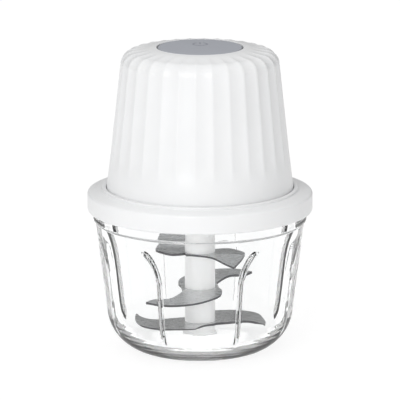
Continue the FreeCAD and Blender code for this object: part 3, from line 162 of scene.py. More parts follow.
def plastic(name, colour, roughness, grain=1400.0, depth=0.00001, spread=0.015, translucency=0.0, glow=0.0):
    """Moulded plastic: fine spark texture, slow waviness of the moulding, uneven sheen.

    glow is a small emission that stands for light reaching the piece through the glass.
    """
    material, tree, shader = new_material(name)
    fine = noise(tree, grain, 4.0)
    slow = noise(tree, 45.0, 2.0)
    tint(tree, slow, shader, *shades(colour, spread))
    steer(tree, fine, shader.inputs["Roughness"], roughness - 0.05, roughness + 0.06)
    shader.inputs["IOR"].default_value = 1.5
    if translucency:
        shader.inputs["Subsurface Weight"].default_value = translucency
        shader.inputs["Subsurface Radius"].default_value = (0.004, 0.0037, 0.0034)
        shader.inputs["Subsurface Scale"].default_value = 1.0
    shader.inputs["Emission Color"].default_value = (1.0, 1.0, 1.0, 1.0)
    shader.inputs["Emission Strength"].default_value = glow
    relief(tree, shader, (slow, 0.00006), (fine, depth))
    return material


PLAIN_REFRACTION = 0.46


def glass(name):
    """Pressed clear glass: slight waviness and a faint cool body colour.

    A plain refraction takes a fixed share of the light. It gives black where glass reflects totally,
    which draws the grey bands at the edges of the bowl.
    """
    material, tree, shader = new_material(name)
    shader.inputs["Transmission Weight"].default_value = 1.0
    shader.inputs["Base Color"].default_value = (0.985, 0.99, 0.99, 1.0)
    shader.inputs["IOR"].default_value = 1.5
    slow = noise(tree, 26.0, 2.0)
    fine = noise(tree, 240.0, 2.0)
    steer(tree, fine, shader.inputs["Roughness"], 0.0, 0.012)
    relief(tree, shader, (slow, 0.00005), (fine, 0.000003))
    plain = tree.nodes.new("ShaderNodeBsdfRefraction")
    plain.inputs["Roughness"].default_value = 0.0
    plain.inputs["IOR"].default_value = 1.5
    tree.links.new(shader.inputs["Normal"].links[0].from_socket, plain.inputs["Normal"])
    mix = tree.nodes.new("ShaderNodeMixShader")
    mix.inputs["Fac"].default_value = PLAIN_REFRACTION
    tree.links.new(shader.outputs["BSDF"], mix.inputs[1])
    tree.links.new(plain.outputs["BSDF"], mix.inputs[2])
    tree.links.new(mix.outputs["Shader"], tree.nodes["Material Output"].inputs["Surface"])
    return material


def sheet_steel(name, colour, roughness, stretch=(1.0, 14.0, 1.0)):
    """Cold-rolled stainless sheet: fine grain lines along one way and a soft mottle."""
    material, tree, shader = new_material(name)
    shader.inputs["Metallic"].default_value = 1.0
    lines = noise(tree, 260.0, 6.0, stretch)
    mottle = noise(tree, 60.0, 3.0)
    tint(tree, mottle, shader, *shades(colour, 0.06))
    steer(tree, lines, shader.inputs["Roughness"], roughness - 0.06, roughness + 0.1)
    relief(tree, shader, (mottle, 0.00004), (lines, 0.000006))
    return material


def turned_metal(name, colour, roughness):
    """Turned or drawn metal: rings round the axis over a fine grain."""
    material, tree, shader = new_material(name)
    shader.inputs["Metallic"].default_value = 1.0
    grooves = rings(tree, 900.0)
    grain = noise(tree, 700.0, 4.0)
    tint(tree, noise(tree, 90.0, 3.0), shader, *shades(colour, 0.08))
    steer(tree, grain, shader.inputs["Roughness"], roughness - 0.07, roughness + 0.1)
    relief(tree, shader, (grooves, 0.000008), (grain, 0.000008))
    return material


def plated(name, colour, roughness, spread=0.07):
    """Plated or stamped metal: soft crystalline mottle and worn sheen."""
    material, tree, shader = new_material(name)
    shader.inputs["Metallic"].default_value = 1.0
    crystals = noise(tree, 330.0, 5.0)
    tint(tree, crystals, shader, *shades(colour, spread))
    steer(tree, noise(tree, 120.0, 3.0), shader.inputs["Roughness"], roughness - 0.06, roughness + 0.09)
    relief(tree, shader, (crystals, 0.000012))
    return material


def silicone(name, colour, roughness, transmission=0.0):
    """Moulded silicone: soft, dust-fine surface that lets some light through."""
    material, tree, shader = new_material(name)
    fine = noise(tree, 2200.0, 3.0)
    slow = noise(tree, 80.0, 2.0)
    tint(tree, slow, shader, *shades(colour, 0.02))
    steer(tree, fine, shader.inputs["Roughness"], roughness - 0.05, roughness + 0.08)
    shader.inputs["IOR"].default_value = 1.42
    shader.inputs["Transmission Weight"].default_value = transmission
    shader.inputs["Sheen Weight"].default_value = 0.15
    relief(tree, shader, (fine, 0.000008))
    return material


def circuit_board(name):
    """Green solder mask with its copper tracks just showing as a lighter pattern."""
    material, tree, shader = new_material(name)
    coordinates = tree.nodes.new("ShaderNodeTexCoord")
    tracks = tree.nodes.new("ShaderNodeTexBrick")
    tracks.inputs["Scale"].default_value = 300.0
    tracks.inputs["Mortar Size"].default_value = 0.04
    tracks.inputs["Color1"].default_value = (0.008, 0.07, 0.03, 1.0)
    tracks.inputs["Color2"].default_value = (0.01, 0.085, 0.036, 1.0)
    tracks.inputs["Mortar"].default_value = (0.03, 0.17, 0.075, 1.0)
    tree.links.new(coordinates.outputs["Object"], tracks.inputs["Vector"])
    tree.links.new(tracks.outputs["Color"], shader.inputs["Base Color"])
    steer(tree, noise(tree, 500.0), shader.inputs["Roughness"], 0.25, 0.4)
    relief(tree, shader, (tracks.outputs["Fac"], 0.00003))
    return material


def winding(name):
    """Armature: enamelled copper turns, drawn as fine lines along the motor."""
    material, tree, shader = new_material(name)
    turns = noise(tree, 180.0, 3.0, (9.0, 9.0, 0.6))
    tint(tree, turns, shader, (0.16, 0.045, 0.015), (0.55, 0.2, 0.07))
    shader.inputs["Metallic"].default_value = 0.75
    steer(tree, noise(tree, 400.0), shader.inputs["Roughness"], 0.28, 0.45)
    relief(tree, shader, (turns, 0.00012))
    return material


WHITE = (0.83, 0.835, 0.84)
MATERIALS = {
    "clear_glass": glass("clear_glass"),
    "white_abs": plastic("white_abs", WHITE, 0.36, translucency=0.04),
    "white_shaft": plastic("white_shaft", (0.84, 0.845, 0.845), 0.4, 1100.0, translucency=0.12, glow=0.24),
    "polished_steel": sheet_steel("polished_steel", (0.66, 0.665, 0.67), 0.26),
    "steel": turned_metal("steel", (0.55, 0.56, 0.57), 0.3),
    "zinc_steel": plated("zinc_steel", (0.62, 0.63, 0.62), 0.34),
    "grey_button": plastic("grey_button", (0.385, 0.4, 0.44), 0.5, 1800.0, 0.000014, 0.02),
    "grey_print": plastic("grey_print", (0.25, 0.26, 0.3), 0.42, 1800.0, 0.00001, 0.03),
    "clear_silicone": silicone("clear_silicone", (0.86, 0.87, 0.87), 0.35, 0.45),
    "white_silicone": silicone("white_silicone", (0.8, 0.8, 0.79), 0.55),
    "natural_acetal": plastic("natural_acetal", (0.72, 0.71, 0.65), 0.38, translucency=0.1),
    "grey_nylon": plastic("grey_nylon", (0.16, 0.165, 0.175), 0.5, 700.0, 0.00002, 0.08),
    "black_nylon": plastic("black_nylon", (0.018, 0.018, 0.02), 0.48, 700.0, 0.00002, 0.1),
    "magnet_ferrite": plastic("magnet_ferrite", (0.045, 0.045, 0.05), 0.6, 500.0, 0.00003, 0.15),
    "nickel_magnet": plated("nickel_magnet", (0.66, 0.65, 0.62), 0.18, 0.03),
    "copper_iron": winding("copper_iron"),
    "brass": turned_metal("brass", (0.62, 0.43, 0.16), 0.3),
    "bronze": plated("bronze", (0.42, 0.24, 0.1), 0.42, 0.15),
    "cell_wrap": plastic("cell_wrap", (0.02, 0.075, 0.2), 0.25, 300.0, 0.00003, 0.05),
    "nickel_strip": plated("nickel_strip", (0.62, 0.6, 0.56), 0.27, 0.05),
    "green_board": circuit_board("green_board"),
    "black_epoxy": plastic("black_epoxy", (0.02, 0.02, 0.022), 0.55, 900.0, 0.00002, 0.1),
    "red_wire": plastic("red_wire", (0.35, 0.012, 0.01), 0.4, 900.0, 0.00001, 0.06),
}
# The blades' cut sides: near-black steel, painted shade for the dark line these thin sides show.
SHADED_SIDE_STEEL = sheet_steel("painted_shade_side", (0.1, 0.1, 0.105), 0.3, (1.0, 1.0, 20.0))
GROUND_STEEL = sheet_steel("ground_steel", (0.72, 0.725, 0.73), 0.2, (16.0, 1.0, 1.0))


def dress_frame():
    """Each CAD node takes the material of its slot, with smooth curved faces."""
    for subpart in frame["record"]["subparts"]:
        data = frame["nodes"][subpart["node"]].data
        data.materials.clear()
        data.materials.append(MATERIALS[subpart["material_slot"]])
        data.shade_smooth()
        data.set_sharp_from_angle(angle=math.radians(30))


dress_frame()


# ---------------------------------------------------------------- shape helpers

def corner_arc(before, corner, after, radius):
    """Points of the arc that rounds one corner of a profile."""
    corner = np.array(corner, float)
    inward = np.array(before, float) - corner
    onward = np.array(after, float) - corner
    reach_in, reach_on = np.linalg.norm(inward), np.linalg.norm(onward)
    inward, onward = inward / reach_in, onward / reach_on
    turn = math.acos(np.clip(inward @ onward, -1, 1))
    tangent = min(radius / math.tan(turn / 2), 0.49 * reach_in, 0.49 * reach_on)
    radius = tangent * math.tan(turn / 2)
    middle = (inward + onward) / np.linalg.norm(inward + onward)
    centre = corner + middle * radius / math.sin(turn / 2)
    start = corner + inward * tangent - centre
    end = corner + onward * tangent - centre
    sweep = math.pi - turn
    steps = max(3, math.ceil(math.degrees(sweep) / 9))
    points = []
    for step in range(steps + 1):
        share = step / steps
        mixed = (math.sin((1 - share) * sweep) * start + math.sin(share * sweep) * end) / math.sin(sweep)
        points.append(tuple(centre + mixed))
    return points


def rounded(corners, closed=False):
    """A profile from (radius, height) or (radius, height, fillet) corners."""
    points = []
    count = len(corners)
    for index, corner in enumerate(corners):
        at_end = not closed and index in (0, count - 1)
        if len(corner) == 2 or at_end:
            points.append(tuple(corner[:2]))
        else:
            before, after = corners[index - 1][:2], corners[(index + 1) % count][:2]
            points.extend(corner_arc(before, corner[:2], after, corner[2]))
    return points


def finer(points, step):
    """The same line with no run longer than step."""
    fine = [points[0]]
    for start, end in zip(points, points[1:]):
        parts = max(1, math.ceil(math.dist(start, end) / step))
        for part in range(1, parts + 1):
            share = part / parts
            fine.append(tuple(a + (b - a) * share for a, b in zip(start, end)))
    return fine


SHARP = 32


def piece(name, vertices, faces, slot, body, replaced=(), sharp=SHARP, extra_materials=()):
    """A mesh piece in millimetres that rides on a body and may stand for CAD nodes.

    Edges that turn by more than sharp degrees stay hard.
    """
    data = bpy.data.meshes.new(name)
    data.from_pydata((np.array(vertices, float) * MM).tolist(), [], faces)
    mesh = bmesh.new()
    mesh.from_mesh(data)
    bmesh.ops.remove_doubles(mesh, verts=mesh.verts, dist=1e-7)
    bmesh.ops.recalc_face_normals(mesh, faces=mesh.faces)
    mesh.to_mesh(data)
    mesh.free()
    data.materials.append(MATERIALS[slot])
    for material in extra_materials:
        data.materials.append(material)
    data.shade_smooth()
    data.set_sharp_from_angle(angle=math.radians(sharp))
    obj = bpy.data.objects.new(name, data)
    bpy.context.scene.collection.objects.link(obj)
    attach(obj, body)
    if replaced:
        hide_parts(*replaced)
    return obj


def grid_faces(rows, columns, closed_rows):
    """Quads of a grid of rows round the axis, each row a closed ring."""
    faces = []
    for row in range(rows if closed_rows else rows - 1):
        here, above = row * columns, (row + 1) % rows * columns
        for column in range(columns):
            beside = (column + 1) % columns
            faces.append((here + column, here + beside, above + beside, above + column))
    return faces


def revolved(profile, angles, closed=False, shape=None):
    """Vertices and faces of a profile turned round the axis.

    shape, if given, takes the radii, heights and angles as grids and returns new radii and heights.
    """
    outline = np.array(profile, float)
    radii = np.repeat(outline[:, :1], len(angles), axis=1)
    heights = np.repeat(outline[:, 1:2], len(angles), axis=1)
    turns = np.repeat(np.array(angles, float)[None, :], len(outline), axis=0)
    if shape:
        radii, heights = shape(radii, heights, turns)
    vertices = np.stack((radii * np.cos(turns), radii * np.sin(turns), heights), axis=-1).reshape(-1, 3)
    return vertices, grid_faces(len(outline), len(angles), closed)


def even_angles(count):
    """Angles that divide a full turn evenly."""
    return [2 * math.pi * step / count for step in range(count)]


def lathe(name, corners, slot, body, replaced=(), segments=192, closed=True):
    """A turned piece from the rounded corners of its profile."""
    vertices, faces = revolved(rounded(corners, closed), even_angles(segments), closed)
    return piece(name, vertices, faces, slot, body, replaced)


def carve(obj, cutter):
    """Cuts one helper mesh out of a piece, and removes the helper."""
    cut = obj.modifiers.new("carve", "BOOLEAN")
    cut.operation = "DIFFERENCE"
    cut.solver = "EXACT"
    cut.object = cutter
    bpy.context.view_layer.update()
    carved = bpy.data.meshes.new_from_object(obj.evaluated_get(bpy.context.evaluated_depsgraph_get()))
    obj.modifiers.clear()
    obj.data = carved
    carved.shade_smooth()
    carved.set_sharp_from_angle(angle=math.radians(SHARP))
    bpy.data.objects.remove(cutter)


def helper_box(low, high, fillet):
    """A box in millimetres, its edges along y rounded, to cut with."""
    low, high = Vector(low), Vector(high)
    mesh = bmesh.new()
    bmesh.ops.create_cube(mesh, size=1.0)
    for vertex in mesh.verts:
        vertex.co = Vector((low[i] + (high[i] - low[i]) * (vertex.co[i] + 0.5) for i in range(3))) * MM
    along = [edge for edge in mesh.edges
             if abs(edge.verts[0].co.y - edge.verts[1].co.y) > 0.9 * (high.y - low.y) * MM]
    bmesh.ops.bevel(mesh, geom=along, offset=fillet * MM, segments=6, profile=0.5, affect="EDGES")
    return helper(mesh)


def helper_cylinder(across, along, radius, bottom, top):
    """An upright cylinder in millimetres, to cut with."""
    mesh = bmesh.new()
    bmesh.ops.create_cone(mesh, cap_ends=True, segments=64, radius1=radius * MM, radius2=radius * MM,
                          depth=(top - bottom) * MM)
    bmesh.ops.translate(mesh, verts=mesh.verts, vec=Vector((across, along, (top + bottom) / 2)) * MM)
    return helper(mesh)


def helper(mesh):
    """An object from a bmesh, to cut with."""
    data = bpy.data.meshes.new("helper")
    mesh.to_mesh(data)
    mesh.free()
    obj = bpy.data.objects.new("helper", data)
    bpy.context.scene.collection.objects.link(obj)
    return obj


# ---------------------------------------------------------------- bowl

WALL_LEAN = math.tan(math.radians(6.9))
OUTER_FOOT = 45.17
INNER_FOOT = 42.17
BOWL_TOP = 79.7
RIB_DEPTH = 2.6
RIB_BOTTOM = (11.0, 18.0)
RIB_TOP = (57.0, 62.0)
RIB_CURL = math.radians(16.0)
CURL_START = 42.0
CURL_HEIGHT = 20.5
RIB_COUNT = 8
RIB_SHIFT = math.radians(2.3)
RIB_HALF_CREST = 0.25
RIB_HALF_FOOT = 1.35
RIB_SPAN = 0.34
STEEPEST_CLIMB = 0.97


def eased(value, low, high):
    """0 below low, 1 above high, and a soft step between."""
    share = np.clip((value - low) / (high - low), 0.0, 1.0)
    return share * share * (3 - 2 * share)


def rib_angles():
    """Angles round the bowl, closer together within RIB_SPAN of each rib's middle."""
    step = 2 * math.pi / RIB_COUNT
    near = np.linspace(-RIB_SPAN, RIB_SPAN, 101)
    far = np.linspace(RIB_SPAN, step - RIB_SPAN, 6)[1:-1]
    return [step * (rib + 0.5) + turn for rib in range(RIB_COUNT) for turn in (*near, *far)]


def rib_shape(radii, heights, turns):
    """How far the ribs stand in from the wall. Their tops curl towards the bowl's two sides."""
    step = 2 * math.pi / RIB_COUNT
    number = np.floor(turns / step)
    middle = (number + 0.5) * step
    side = -np.sign(np.sin(2 * middle))
    climb = np.clip((heights - CURL_START) / CURL_HEIGHT, 0.0, STEEPEST_CLIMB)
    line = middle + side * (RIB_SHIFT + RIB_CURL * (1 - np.sqrt(1 - climb ** 2)))
    slant = RIB_CURL * radii * climb / np.sqrt(1 - climb ** 2) / CURL_HEIGHT
    across = np.abs(np.sin(turns - line)) * radii / np.sqrt(1 + slant ** 2)
    rise = 1 - eased(across, RIB_HALF_CREST, RIB_HALF_FOOT)
    return RIB_DEPTH * rise * eased(heights, *RIB_BOTTOM) * (1 - eased(heights, *RIB_TOP))


def make_bowl():
    outside = rounded((
        (0, 0),
        (OUTER_FOOT, 0, 22.3),
        (OUTER_FOOT + 67.2 * WALL_LEAN, 67.2, 1.2),
        (54.5, 68.4, 1.0),
        (54.5, BOWL_TOP, 1.0),
        (INNER_FOOT + BOWL_TOP * WALL_LEAN, BOWL_TOP, 0.9),
        (INNER_FOOT + 70 * WALL_LEAN, 70),
    ))
    inside = finer(rounded((
        (INNER_FOOT + 70 * WALL_LEAN, 70),
        (INNER_FOOT + 4.5 * WALL_LEAN, 4.5, 19.0),
        (5.0, 4.5, 0.8),
    )), 0.8)
    boss = rounded((
        (6.0, 4.5),
        (5.0, 4.5, 0.7),
        (5.0, 5.7, 0.5),
        (2.03, 5.7, 0.15),
        (2.03, 2.8),
        (0.0, 2.8),
    ))
    inside = [point for point in inside if point[0] > 6.0]
    profile = outside[:-1] + inside + boss
    inner = np.zeros(len(profile), bool)
    inner[len(outside) - 1:len(outside) - 1 + len(inside)] = True

    def with_ribs(radii, heights, turns):
        return radii - rib_shape(radii, heights, turns) * inner[:, None], heights

    vertices, faces = revolved(profile, rib_angles(), False, with_ribs)
    piece("glass_bowl", vertices, faces, "clear_glass", "bowl_unit", ("bowl",), sharp=50)


make_bowl()


# ---------------------------------------------------------------- shaft

SHAFT = 7.75
CORE_BORE = 5.25
LEVELS = (14.3, 32.0, 50.9)
SHEET = 1.2


def make_shaft():
    lathe("shaft_foot", (
        (6.83, 6.0, 0.15),
        (8.9, 6.0, 0.5),
        (8.9, 8.5, 0.6),
        (SHAFT, 8.5, 0.3),
        (SHAFT, LEVELS[0], 0.18),
        (CORE_BORE, LEVELS[0], 0.1),
        (CORE_BORE, 7.23),
        (6.83, 7.23),
    ), "white_shaft", "blade_unit", ("foot_sleeve",), 96)
    for name, low, high in (("lower", LEVELS[0] + SHEET, LEVELS[1]), ("upper", LEVELS[1] + SHEET, LEVELS[2])):
        lathe(f"shaft_{name}", (
            (CORE_BORE, low, 0.1),
            (SHAFT, low, 0.18),
            (SHAFT, high, 0.18),
            (CORE_BORE, high, 0.1),
        ), "white_shaft", "blade_unit", (f"{name}_sleeve",), 96)
    lathe("shaft_top", (
        (CORE_BORE, LEVELS[2] + SHEET, 0.1),
        (SHAFT, LEVELS[2] + SHEET, 0.18),
        (SHAFT, 70.9, 0.5),
        (6.0, 70.9, 0.2),
        (6.0, 80.6, 0.5),
        (4.63, 80.6, 0.2),
        (4.63, 67.0),
        (CORE_BORE, 66.2),
    ), "white_shaft", "blade_unit", ("top_sleeve", "shaft_journal"), 96)


make_shaft()


# ---------------------------------------------------------------- blades

BEND_LINE = 7.9
GRIND = 1.7
EDGE = 1.0
HEX_HOLE = 4.56
BLADE_SHARP = 18


def spline(points, count):
    """A natural cubic spline through the points, by their distances."""
    knots = np.array(points, float)
    along = np.concatenate(([0], np.cumsum(np.linalg.norm(np.diff(knots, axis=0), axis=1))))
    gaps = np.diff(along)
    size = len(knots)
    matrix = np.eye(size)
    right = np.zeros((size, 2))
    for i in range(1, size - 1):
        matrix[i, i - 1:i + 2] = gaps[i - 1], 2 * (gaps[i - 1] + gaps[i]), gaps[i]
        right[i] = 6 * ((knots[i + 1] - knots[i]) / gaps[i] - (knots[i] - knots[i - 1]) / gaps[i - 1])
    bend = np.linalg.solve(matrix, right)
    line = []
    for distance in np.linspace(0, along[-1], count):
        i = min(int(np.searchsorted(along, distance, "right")) - 1, size - 2)
        a, b, gap = along[i + 1] - distance, distance - along[i], gaps[i]
        line.append((bend[i] * a ** 3 + bend[i + 1] * b ** 3) / (6 * gap)
                    + (knots[i] / gap - bend[i] * gap / 6) * a
                    + (knots[i + 1] / gap - bend[i + 1] * gap / 6) * b)
    return np.array(line)


def ground_line(edge):
    """The inner border of the ground bevel: GRIND inside the edge, meeting it at both ends."""
    ahead = np.gradient(edge, axis=0)
    normal = np.stack((-ahead[:, 1], ahead[:, 0]), axis=1) / np.linalg.norm(ahead, axis=1)[:, None]
    share = np.linspace(0, 1, len(edge))
    width = GRIND * np.clip(np.minimum(share, 1 - share) * 9, 0, 1) ** 0.7
    return edge + normal * width[:, None]


def lean(y, bend):
    """Height of the pressed sheet at a distance y from the axis, with a soft bend."""
    past = abs(y) - BEND_LINE
    soft = 0.7
    run = 0.0 if past < -soft else (past + soft) ** 2 / (4 * soft) if past < soft else past
    return math.copysign(run * math.tan(math.radians(bend)), y)


def encloses(loop, point):
    """True if the closed loop of points goes round the point."""
    (x1, y1), (x2, y2) = loop.T, np.roll(loop, -1, axis=0).T
    crosses = (y1 > point.y) != (y2 > point.y)
    ahead = x1 + (point.y - y1) * (x2 - x1) / np.where(crosses, y2 - y1, 1.0) > point.x
    return np.count_nonzero(crosses & ahead) % 2 == 1


def blade_plan(back_edge, outer_edge):
    """Triangles of the flat blade, with the places of its two cutting edges."""
    back, outer = spline(back_edge, 40), spline(outer_edge, 90)
    inner = ground_line(outer)
    hexagon = np.array([(math.cos(math.radians(60 * k)), math.sin(math.radians(60 * k))) for k in range(6)])
    hexagon = hexagon * HEX_HOLE / math.cos(math.radians(30))
    rim = np.concatenate((back[:-1], outer, -back[:-1], -outer))
    points = [tuple(p) for p in np.concatenate((rim, hexagon, inner[1:-1], -inner[1:-1]))]
    rim_count = len(rim)
    edges = []
    for first, count in ((rim_count + 6, len(inner) - 2), (rim_count + 4 + len(inner), len(inner) - 2)):
        edges.extend((first + i, first + i + 1) for i in range(count - 1))
    for side in (-1, 1):
        for offset in (-0.7, 0.0, 0.7):
            level = side * (BEND_LINE + offset)
            edges.append((len(points), len(points) + 1))
            points.extend(((-60.0, level), (60.0, level)))
    loops = [list(range(rim_count)), list(range(rim_count, rim_count + 6))]
    flat, _, triangles, _, _, _ = delaunay_2d_cdt([Vector(p) for p in points], edges, loops, 0, 1e-5)
    kept = []
    for triangle in triangles:
        middle = sum((flat[index] for index in triangle), Vector((0.0, 0.0))) / 3
        if encloses(rim, middle) and not encloses(hexagon, middle):
            kept.append(tuple(triangle))
    cutting = np.concatenate((outer, -outer))
    share = np.tile(np.linspace(0, 1, len(outer)), 2)
    return [tuple(p) for p in flat], kept, cutting, share


def make_blade(name, level, back_edge, outer_edge, bend):
    """A steel blade with ground cutting edges.

    Material index 0 is the sheet, 1 the ground bevel and 2 the cut edge, painted near-black as shade.
    """
    flat, triangles, cutting, share = blade_plan(back_edge, outer_edge)
    used = sorted({index for triangle in triangles for index in triangle})
    place = {index: number for number, index in enumerate(used)}
    lower, upper, on_edge = [], [], []
    for index in used:
        x, y = flat[index]
        height = level + lean(y, bend)
        gaps = np.hypot(cutting[:, 0] - x, cutting[:, 1] - y)
        nearest = int(np.argmin(gaps))
        sharpness = 0.0
        if gaps[nearest] < 0.3 and min(share[nearest], 1 - share[nearest]) > 0.005:
            sharpness = min(1.0, 14 * min(share[nearest], 1 - share[nearest]))
        on_edge.append(sharpness > 0)
        lower.append((x, y, height + (SHEET - EDGE) * sharpness))
        upper.append((x, y, height + SHEET))
    count = len(used)
    faces = []
    finish = []
    borders = {}
    for triangle in triangles:
        a, b, c = (place[index] for index in triangle)
        faces.append((c, b, a))
        finish.append(1 if on_edge[a] or on_edge[b] or on_edge[c] else 0)
        faces.append((a + count, b + count, c + count))
        finish.append(0)
        for edge in ((a, b), (b, c), (c, a)):
            borders[edge] = True
    for a, b in borders:
        if (b, a) not in borders:
            faces.append((a, b, b + count, a + count))
            finish.append(2)
    node = name.removeprefix("steel_")
    blade = piece(name, lower + upper, faces, "polished_steel", "blade_unit", (node,), BLADE_SHARP,
                  (GROUND_STEEL, SHADED_SIDE_STEEL))
    blade.data.polygons.foreach_set("material_index", finish)


BLADES = {
    "steel_lower_blade": (LEVELS[0], (
        (-8.2, 6.1), (-15.8, 3.6), (-24.0, 1.5), (-28.4, 4.4), (-33.0, 13.8),
    ), (
        (-33.0, 13.8), (-33.5, 6.0), (-32.4, -4.0), (-29.6, -15.3), (-19.9, -22.0), (-8.2, -21.5),
        (-2.6, -18.9), (0.0, -13.8), (7.4, -7.2),
    ), 0.0),
    "steel_middle_blade": (LEVELS[1], (
        (-8.6, -8.6), (-12.0, -12.6), (-15.8, -15.3), (-22.5, -15.8), (-27.1, -18.4),
    ), (
        (-27.1, -18.4), (-19.7, -20.7), (-8.7, -20.7), (0.8, -18.2), (6.3, -15.3), (10.2, -12.1),
        (11.2, -8.7), (9.8, -2.6),
    ), 20.0),
    "steel_upper_blade": (LEVELS[2], (
        (7.6, 4.6), (14.6, 6.5), (19.3, 2.0), (22.6, -3.6), (20.3, -13.4), (16.9, -19.2),
    ), (
        (16.9, -19.2), (12.4, -15.8), (6.3, -10.6), (-0.9, -8.6), (-7.0, -7.4),
    ), 20.0),
}
for blade_name, blade_facts in BLADES.items():
    make_blade(blade_name, *blade_facts)


# ---------------------------------------------------------------- lid

def make_lid():
    lid = lathe("moulded_lid", (
        (54.9, 72.8, 0.1),
        (57.5, 72.8, 2.5),
        (57.5, 82.5, 1.4),
        (50.2, 83.8, 0.5),
        (50.2, 85.1, 1.0),
        (47.9, 85.1, 0.8),
        (47.9, 79.0, 0.5),
        (10.5, 79.0, 0.6),
        (10.5, 81.4, 0.3),
        (8.0, 81.4, 0.2),
        (8.0, 71.6, 0.2),
        (9.7, 71.6, 0.2),
        (10.5, 76.6, 0.4),
        (46.6, 76.6, 0.8),
        (46.6, 72.5, 0.4),
        (49.2, 72.5, 0.4),
        (49.2, 73.6, 0.1),
        (48.0, 73.6, 0.1),
        (48.0, 75.8, 0.1),
        (49.2, 75.8, 0.1),
        (49.2, 80.0, 0.5),
        (54.9, 80.0, 0.5),
    ), "white_abs", "lid_unit", ("lid",), 256)
    low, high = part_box("interlock_magnet")
    radius = (high.x - low.x) / 2 / MM + 0.05
    carve(lid, helper_cylinder(0.0, (low.y + high.y) / 2 / MM, radius, low.z / MM, 81.0))
    lathe("seal_ring", (
        (48.0, 73.6, 0.1),
        (49.3, 73.6, 0.15),
        (50.77, 74.3, 0.3),
        (50.77, 75.1, 0.3),
        (49.3, 75.8, 0.15),
        (48.0, 75.8, 0.1),
    ), "clear_silicone", "lid_unit", ("bowl_seal",), 256)


make_lid()


# ---------------------------------------------------------------- motor head

HEAD_LEAN = math.radians(6.3)
TOP_SLOPE = math.radians(9.2)
HEAD_TOP = 157.2
OPENING = 22.1
COLLAR_TOP = 85.1
HEAD_RADIUS = 47.55
HEAD_WALL = 2.5
SHOULDER_CENTRE = (33.0, 147.8)
SHOULDER = 7.6
FLUTES = 30
FLUTE_PHASE = math.radians(2.8)
FLUTE_DEPTH = 0.75
FLUTE_FOOT = 93.9
FLUTE_FULL = 104.0
FLUTE_END = 24.7
RIDGE_START = 0.84


def head_meridian():
    """(radius, height, outward slope, flute depth) from the collar to the flutes' inner end."""
    rows = []
    wall_top = SHOULDER_CENTRE[1] + SHOULDER * math.sin(HEAD_LEAN)
    for height in np.linspace(COLLAR_TOP, wall_top, 70)[:-1]:
        radius = HEAD_RADIUS - (height - COLLAR_TOP) * math.tan(HEAD_LEAN)
        rows.append((radius, height, HEAD_LEAN, FLUTE_DEPTH * eased(height, FLUTE_FOOT, FLUTE_FULL)))
    top = math.pi / 2 - TOP_SLOPE
    for slope in np.linspace(HEAD_LEAN, top, 26):
        radius = SHOULDER_CENTRE[0] + SHOULDER * math.cos(slope)
        height = SHOULDER_CENTRE[1] + SHOULDER * math.sin(slope)
        rows.append((radius, height, slope, FLUTE_DEPTH * (1 - 0.4 * eased(slope, HEAD_LEAN, top))))
    edge = rows[-1][0]
    for radius in np.linspace(edge, FLUTE_END, 22)[1:]:
        height = HEAD_TOP - (radius - OPENING) * math.tan(TOP_SLOPE)
        rows.append((radius, height, top, 0.6 * FLUTE_DEPTH * eased(radius, FLUTE_END, edge)))
    return rows


def flute_section(turns):
    """How deep the flute is, from 0 at a ridge to 1 at its middle, with rounded ridges."""
    across = np.abs(((turns - FLUTE_PHASE) * FLUTES / (2 * math.pi)) % 1.0 * 2 - 1)
    hollow = 1 - across ** 2
    ridge = RIDGE_START / (1 - RIDGE_START) * (1 - across) ** 2 + 1 - RIDGE_START
    return np.where(across < RIDGE_START, hollow, ridge)


def make_housing():
    fluted = head_meridian()
    inner_shoulder = SHOULDER - HEAD_WALL
    under = HEAD_TOP - HEAD_WALL / math.cos(TOP_SLOPE)
    inside = rounded((
        (OPENING, HEAD_TOP - 0.6),
        (OPENING, HEAD_TOP - 4.2, 0.2),
        (OPENING + 1.8, HEAD_TOP - 4.2, 0.2),
        (OPENING + 1.8, under - 1.8 * math.tan(TOP_SLOPE)),
        (SHOULDER_CENTRE[0] + inner_shoulder * math.sin(TOP_SLOPE),
         SHOULDER_CENTRE[1] + inner_shoulder * math.cos(TOP_SLOPE), 2.0),
        (SHOULDER_CENTRE[0] + inner_shoulder * math.cos(HEAD_LEAN),
         SHOULDER_CENTRE[1] + inner_shoulder * math.sin(HEAD_LEAN), 2.0),
        (HEAD_RADIUS - HEAD_WALL, COLLAR_TOP),
        (HEAD_RADIUS - HEAD_WALL, 79.3, 0.3),
        (HEAD_RADIUS, 79.3, 0.8),
        (HEAD_RADIUS, COLLAR_TOP - 0.1),
    ))
    crown = rounded(((FLUTE_END - 0.01, fluted[-1][1]), (OPENING, HEAD_TOP, 0.5), (OPENING, HEAD_TOP - 0.6)))
    profile = [row[:2] for row in fluted] + crown[:-1] + inside
    plain = len(profile) - len(fluted)
    slopes = np.array([row[2] for row in fluted] + [0.0] * plain)[:, None]
    depths = np.array([row[3] for row in fluted] + [0.0] * plain)[:, None]

    def with_flutes(radii, heights, turns):
        inset = depths * flute_section(turns)
        return radii - inset * np.cos(slopes), heights - inset * np.sin(slopes)

    angles = [turn + FLUTE_PHASE for turn in even_angles(FLUTES * 22)]
    vertices, faces = revolved(profile, angles, True, with_flutes)
    housing = piece("fluted_housing", vertices, faces, "white_abs", "motor_head", ("motor_housing",), 40)
    cover_low, cover_high = (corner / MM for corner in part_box("socket_cover"))
    port_low, port_high = (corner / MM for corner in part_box("charge_socket"))
    carve(housing, helper_box((cover_low.x - 0.3, 43.83, 101.6), (cover_high.x + 0.3, 52.0, 112.2), 1.0))
    carve(housing, helper_box((port_low.x - 0.4, port_low.y + 0.5, port_low.z - 0.4),
                              (port_high.x + 0.4, 45.0, port_high.z + 0.4), 1.7))


